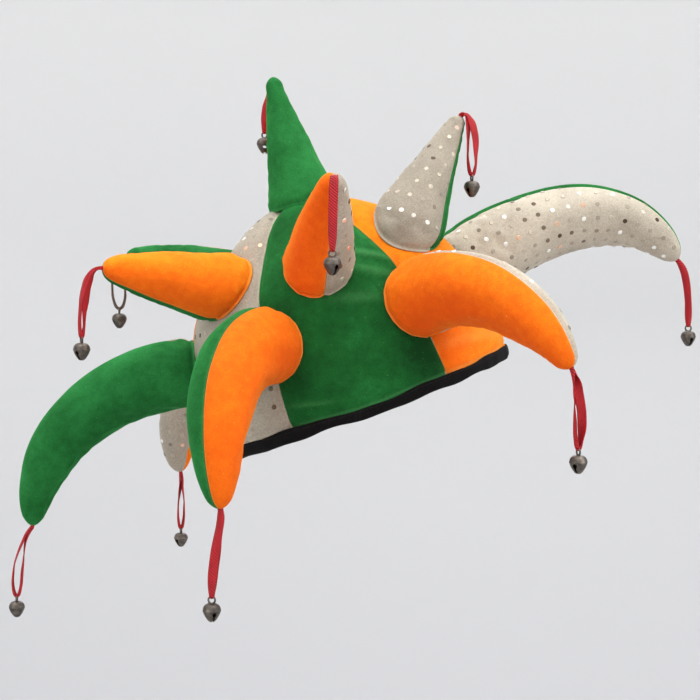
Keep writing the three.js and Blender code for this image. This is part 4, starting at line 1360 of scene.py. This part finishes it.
def shank_ring(start):
    """The wire loop on top, standing across the ribbon's way through it."""
    turn, side = np.meshgrid(turns(SHANK_TURNS), turns(SHANK_SIDES), indexing="ij")
    reach = SHANK_HOLE + SHANK_WIRE + SHANK_WIRE * np.cos(side)
    points = np.stack([
        SHANK_WIRE * np.sin(side), reach * np.cos(turn),
        SHANK_OVER_MIDDLE + reach * np.sin(turn)], -1).reshape(-1, 3)
    quads, _ = grid_faces(SHANK_TURNS, SHANK_SIDES, start, round_columns=True, round_rows=True)
    return points, quads[:, FLIPPED].tolist()


def pellet(start):
    polar = np.linspace(0, math.pi, PELLET_ROWS + 2)
    profile = PELLET_RADIUS * np.stack([np.sin(polar), -np.cos(polar)], -1)
    points, faces = turned_cup(profile, PELLET_SIDES, start)
    return points + PELLET_PLACE, faces


shell, shell_sides = bell_shell()
ring, ring_sides = shank_ring(len(shell))
ball, ball_sides = pellet(len(shell) + len(ring))
bell_points, bell_faces = np.concatenate([shell, ring, ball]), shell_sides + ring_sides + ball_sides
bronze = antique_bronze("antique_bronze")
for horn in HORN_LIST:
    _, drop, turn = DROPS[horn.place]
    middle = horn.tip + np.array(drop) - np.array([0, 0, SHANK_BELOW_RIBBON + SHANK_OVER_MIDDLE])
    points = turned_round(bell_points, math.radians(turn)) + middle
    bell = mesh_piece(f"jingle_{horn.place}", points, bell_faces, [bronze])
    bell.data.set_sharp_from_angle(angle=SHARP_EDGE)
    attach(bell, "root")
    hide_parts(f"bell_{horn.place}")


# Ribbon loops
# A narrow red ribbon is folded double through each bell's shank, and both ends are sewn into
# the horn's tip. It is limp and woven on the slant, so it gathers at both ends and twists a little.
RIBBON_WIDTH, RIBBON_THICKNESS, RIBBON_START_GAP, RIBBON_HANG = 5.4, 0.36, 0.9, 22.0
RIBBON_TUCKED_IN = 2.2
RIBBON_STARTS = {"top": (-1.0, 4.0, -4.5)}
RIBBON_SELVAGE, RIBBON_SELVAGE_FROM, RIBBON_ACROSS, RIBBON_STEPS = 0.16, 0.8, 9, 44
RIBBON_STATIONS = np.array([  # share of the way down, half distance between the legs, width
    (0, 0.4, 2.4), (0.14, 0.7, 4.2), (0.36, 1.5, 5.3), (0.62, 3.4, 5.3), (0.85, 3.6, 4.7),
    (0.965, 2.1, 3.2), (1, 0.8, 1.9)])
RIBBON_CLOSED = np.array([  # share of the way down, least half distance between the legs
    (0, 0.45), (0.12, 0.8), (0.2, 1.1), (0.95, 1.1), (1, 0.8)])
RIBBON_WEAVE, RIBBON_SLANT, RIBBON_WEAVE_HEIGHT = 1.65 * MM, 0.8, 0.25 * MM
RIBBON_PATCH, RIBBON_FLECK, RIBBON_SHEEN = 120.0, 1700.0, linear(255, 140, 130)
LINE_EASING, WIDTH_EASING, TWIST_EASING = 3, 4, 12
CUP_ANGLES = np.linspace(0.12, 3.0, 400)
# Painted shade: this loop is the same red ribbon, coloured dark brown-grey as it looks in shade
SHADED_LOOPS = ("upper_rear_left",)
OPENINGS = {  # place: how far the loop opens
    "top": 0.5, "upper_front": 0.85, "upper_right": 0.3, "upper_left": 0.6, "upper_rear_right": 0.5,
    "upper_rear_left": 1.35, "lower_front_right": 0.7, "lower_front_left": 0.3,
    "lower_rear_right": 0.3, "lower_rear_left": 0.7, "lower_rear": 0.9,
}
TWIST_PLACES = (0.05, 0.35, 0.7, 0.95)
TWISTS = {  # place: turn of each leg about its own length, in degrees, at a third and at two thirds
    "top": ((10, 0), (-25, 0)), "upper_front": ((78, 66), (-62, -28)),
    "upper_right": ((8, 14), (-8, -14)), "upper_left": ((-10, 16), (12, -20)),
    "upper_rear_right": ((72, 58), (24, 5)), "upper_rear_left": ((8, 0), (-12, 0)),
    "lower_front_right": ((-72, -74), (-60, -8)), "lower_front_left": ((22, 40), (-12, -30)),
    "lower_rear_right": ((48, -30), (-24, 30)), "lower_rear_left": ((30, 10), (-40, -15)),
    "lower_rear": ((-25, 6), (25, 8)),
}


def woven_ribbon(name, *colours):
    """Ribbon with a slanting weave, firm selvages and a soft gloss; its ribs are painted lighter on their
    crests as highlight and darker in their valleys as shade.
    """
    finish, place = new_finish(name)
    fleck = noise(place, RIBBON_FLECK)
    patch = noise(place, RIBBON_PATCH)
    slant = (on_cloth(place, "X") + on_cloth(place, "Y") * RIBBON_SLANT) * (2 * math.pi / RIBBON_WEAVE)
    rib = place.math("SINE", slant + patch * 5.0 + fleck, 0.0) * 0.5 + 0.5
    tone = rib * 0.65 + fleck * 0.4 + patch * 0.35 - 0.2
    return put_surface(finish, place, {
        "Base Color": ramp(tone, (0.15, 0.5, 0.85), [linear(*colour) for colour in colours]),
        "Roughness": 0.45 + 0.25 * fleck, "Specular IOR Level": 0.3,
        "Normal": relief(rib + fleck * 0.3, 0.7, RIBBON_WEAVE_HEIGHT),
        "Sheen Weight": 0.1, "Sheen Roughness": 0.3, "Sheen Tint": opaque(RIBBON_SHEEN)})


def eased(points, rounds):
    """Evens out a line of points, keeping its ends."""
    for _ in range(rounds):
        points = points.copy()
        points[1:-1] = (points[:-2] + 2 * points[1:-1] + points[2:]) / 4
    return points


def loop_line(horn, lead, drop, spread):
    """The line down one leg of a loop and up the other, with the ribbon's width along it."""
    t = np.linspace(0, 1, RIBBON_STEPS)
    start = horn.tip + horn.way_out * RIBBON_START_GAP + np.array(RIBBON_STARTS.get(horn.place, (0, 0, 0)))
    end = horn.tip + np.array(drop, float)
    over_bell = end + np.array([0, 0, RIBBON_HANG])
    route = cubic(t[:, None], start, start + np.array(lead), over_bell, end)
    down, apart, width = RIBBON_STATIONS.T
    apart, width = np.interp(t, down, apart), np.interp(t, down, width)
    apart = np.maximum(apart * OPENINGS[horn.place], np.interp(t, *RIBBON_CLOSED.T))
    aside = spread * apart[:, None]
    tucked = (start - horn.way_out * RIBBON_TUCKED_IN)[None]
    line = np.concatenate([tucked, route + aside, (route - aside)[::-1], tucked])
    width = np.concatenate([width[:1], width, width[::-1], width[:1]])
    return eased(line, LINE_EASING), eased(width, WIDTH_EASING)


def loop_twist(place):
    """How far the ribbon turns about its own line."""
    t = np.linspace(0, 1, RIBBON_STEPS)
    first, second = (np.interp(t, TWIST_PLACES, (0, *leg, 0)) for leg in TWISTS[place])
    return np.radians(eased(np.concatenate([[0], first, second[::-1], [0]]), TWIST_EASING))


def cupped(width):
    """The ribbon's section where it is gathered: an arc of its full width with that chord."""
    half = np.interp(-width / RIBBON_WIDTH, -np.sin(CUP_ANGLES) / CUP_ANGLES, CUP_ANGLES)
    a = np.linspace(-1, 1, RIBBON_ACROSS) * half[:, None]
    radius = RIBBON_WIDTH / (2 * half[:, None])
    x, y = radius * np.sin(a), radius * (1 - np.cos(a))
    return x, y - y.mean(1, keepdims=True), np.sin(a), np.cos(a)


def ribbon_rings(line, width, twist, across):
    """The ribbon's closed sections along its line: both faces, with thicker selvages."""
    tangent = unit(np.gradient(line, axis=0))
    wide = unit(across - np.sum(tangent * across, -1, keepdims=True) * tangent)
    face = np.cross(tangent, wide)
    c, s = np.cos(twist)[:, None], np.sin(twist)[:, None]
    wide, face = (wide * c + face * s)[:, None], (face * c - wide * s)[:, None]
    x, y, lean, stand = (part[..., None] for part in cupped(width))
    middle = line[:, None] + wide * x + face * y
    normal = face * stand - wide * lean
    edge = np.abs(np.linspace(-1, 1, RIBBON_ACROSS)) > RIBBON_SELVAGE_FROM
    half = (RIBBON_THICKNESS + RIBBON_SELVAGE * edge[:, None]) / 2
    return np.concatenate([middle + normal * half, (middle - normal * half)[:, ::-1]], 1)


# The light end is painted highlight on the ribs' crests, the deep end painted shade between them
red_ribbon = woven_ribbon("red_slant_ribbon", (112, 4, 16), (166, 13, 28), (216, 48, 52))
# The same ribbon coloured dark brown-grey as painted shade
shaded_ribbon = woven_ribbon("shaded_slant_ribbon", (70, 56, 48), (98, 82, 70), (134, 116, 102))
reach = np.linspace(-RIBBON_WIDTH / 2, RIBBON_WIDTH / 2, RIBBON_ACROSS)
reach = np.concatenate([reach, reach[::-1]])
for horn in HORN_LIST:
    lead, drop, turn = DROPS[horn.place]
    spread = np.array([math.cos(math.radians(turn)), math.sin(math.radians(turn)), 0])
    line, width = loop_line(horn, lead, drop, spread)
    rings = ribbon_rings(line, width, loop_twist(horn.place), np.cross(spread, (0, 0, 1)))
    quads, index = grid_faces(*rings.shape[:2], round_columns=True)
    faces = quads[:, FLIPPED].tolist() + [index[0].tolist(), index[-1, ::-1].tolist()]
    lengths = line_lengths(line)
    flat = np.stack(np.broadcast_arrays(lengths[:, None], reach[None]), -1).reshape(-1, 2)
    ribbon = mesh_piece(
        f"ribbon_loop_{horn.place}", rings.reshape(-1, 3), faces,
        [shaded_ribbon if horn.place in SHADED_LOOPS else red_ribbon], cloth_map=flat)
    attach(ribbon, "root")
    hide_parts(f"ribbon_{horn.place}")
    (line * MM).tolist()


# Studio
# A plain pale floor that curves up into a wall all round, and broad soft lamps from above.
# The camera stands a little above the rim, level with the wearer's right side.
FLOOR_DROP, COVE_FLAT, COVE_RADIUS, COVE_HEIGHT = 0.55, 1.3, 1.4, 4.0
COVE_TURNS, COVE_STEPS, COVE_RINGS, COVE_MIDDLE = 96, 18, 6, 0.05
FLOOR_SHADE, WALL_SHADE, PAPER_GRAIN = (0.42, 0.42, 0.43), (0.62, 0.62, 0.62), 1.2
LAMP_AIM = (0, 0, 0.05)
CAMERA_PLACE, CAMERA_TARGET = (-0.0099, -1.0494, 0.0749), (-0.0099, 0.0, 0.0383)
CAMERA_LENS, CAMERA_SENSOR = 81.82, 36.0
ROOM_COLOUR, ROOM_STRENGTH = (0.985, 0.99, 1.0, 1.0), 2.75
LAMPS = (  # name, place, size, power, colour
    ("right_lamp", (1.7, -1.1, 0.5), 1.4, 11.0, (1.0, 0.995, 0.985)),
    ("left_lamp", (-1.2, -1.5, 0.3), 1.4, 7.0, (1.0, 0.995, 0.985)),
    ("high_lamp", (0.9, -0.3, 1.3), 0.9, 3.5, (1.0, 0.995, 0.98)),
    ("back_lamp", (0.3, 1.8, 1.1), 1.4, 10.0, (1.0, 1.0, 1.0)),
)


def pale_paper(name):
    """Matt studio paper, a little deeper underfoot than on the wall."""
    finish, place = new_finish(name)
    height = place.node("ShaderNodeSeparateXYZ", {"Vector": place}, "Z")
    rise = (height + FLOOR_DROP) * (1 / COVE_RADIUS)
    return put_surface(finish, place, {
        "Base Color": ramp(rise, (0.0, 0.9), (FLOOR_SHADE, WALL_SHADE)),
        "Roughness": 0.85 + 0.1 * noise(place, PAPER_GRAIN), "Specular IOR Level": 0.1})


def studio_cove():
    rings = [(r, 0.0) for r in np.linspace(COVE_MIDDLE, COVE_FLAT, COVE_RINGS)]
    for step in range(1, COVE_STEPS + 1):
        turn = step / COVE_STEPS * math.pi / 2
        rings.append((COVE_FLAT + COVE_RADIUS * math.sin(turn), COVE_RADIUS * (1 - math.cos(turn))))
    rings.append((COVE_FLAT + COVE_RADIUS, COVE_HEIGHT))
    points = [
        (r * math.cos(a), r * math.sin(a), h - FLOOR_DROP) for r, h in rings for a in turns(COVE_TURNS)]
    quads, index = grid_faces(len(rings), COVE_TURNS, round_columns=True)
    faces = quads[:, FLIPPED].tolist() + [index[0].tolist()]
    return mesh_piece("floor", np.array(points) / MM, faces, [pale_paper("pale_floor")])


def hang(name, data, place, target):
    """Puts a lamp or the camera at its place, looking at a target."""
    holder = bpy.data.objects.new(name, data)
    holder.location = place
    holder.rotation_mode = "QUATERNION"
    holder.rotation_quaternion = (Vector(target) - Vector(place)).to_track_quat("-Z", "Y")
    bpy.context.scene.collection.objects.link(holder)
    return holder


studio_cove()
for name, place, size, power, colour in LAMPS:
    lamp = bpy.data.lights.new(name, "AREA")
    lamp.shape, lamp.size, lamp.energy, lamp.color = "DISK", size, power, colour
    hang(name, lamp, place, LAMP_AIM)

world = bpy.data.worlds.new("soft_room")
world.use_nodes = True
world.node_tree.nodes["Background"].inputs["Color"].default_value = ROOM_COLOUR
world.node_tree.nodes["Background"].inputs["Strength"].default_value = ROOM_STRENGTH
bpy.context.scene.world = world
bpy.context.scene.view_settings.view_transform = "Standard"

camera = bpy.data.cameras.new("camera")
camera.lens, camera.sensor_width = CAMERA_LENS, CAMERA_SENSOR
bpy.context.scene.camera = hang("camera", camera, CAMERA_PLACE, CAMERA_TARGET)
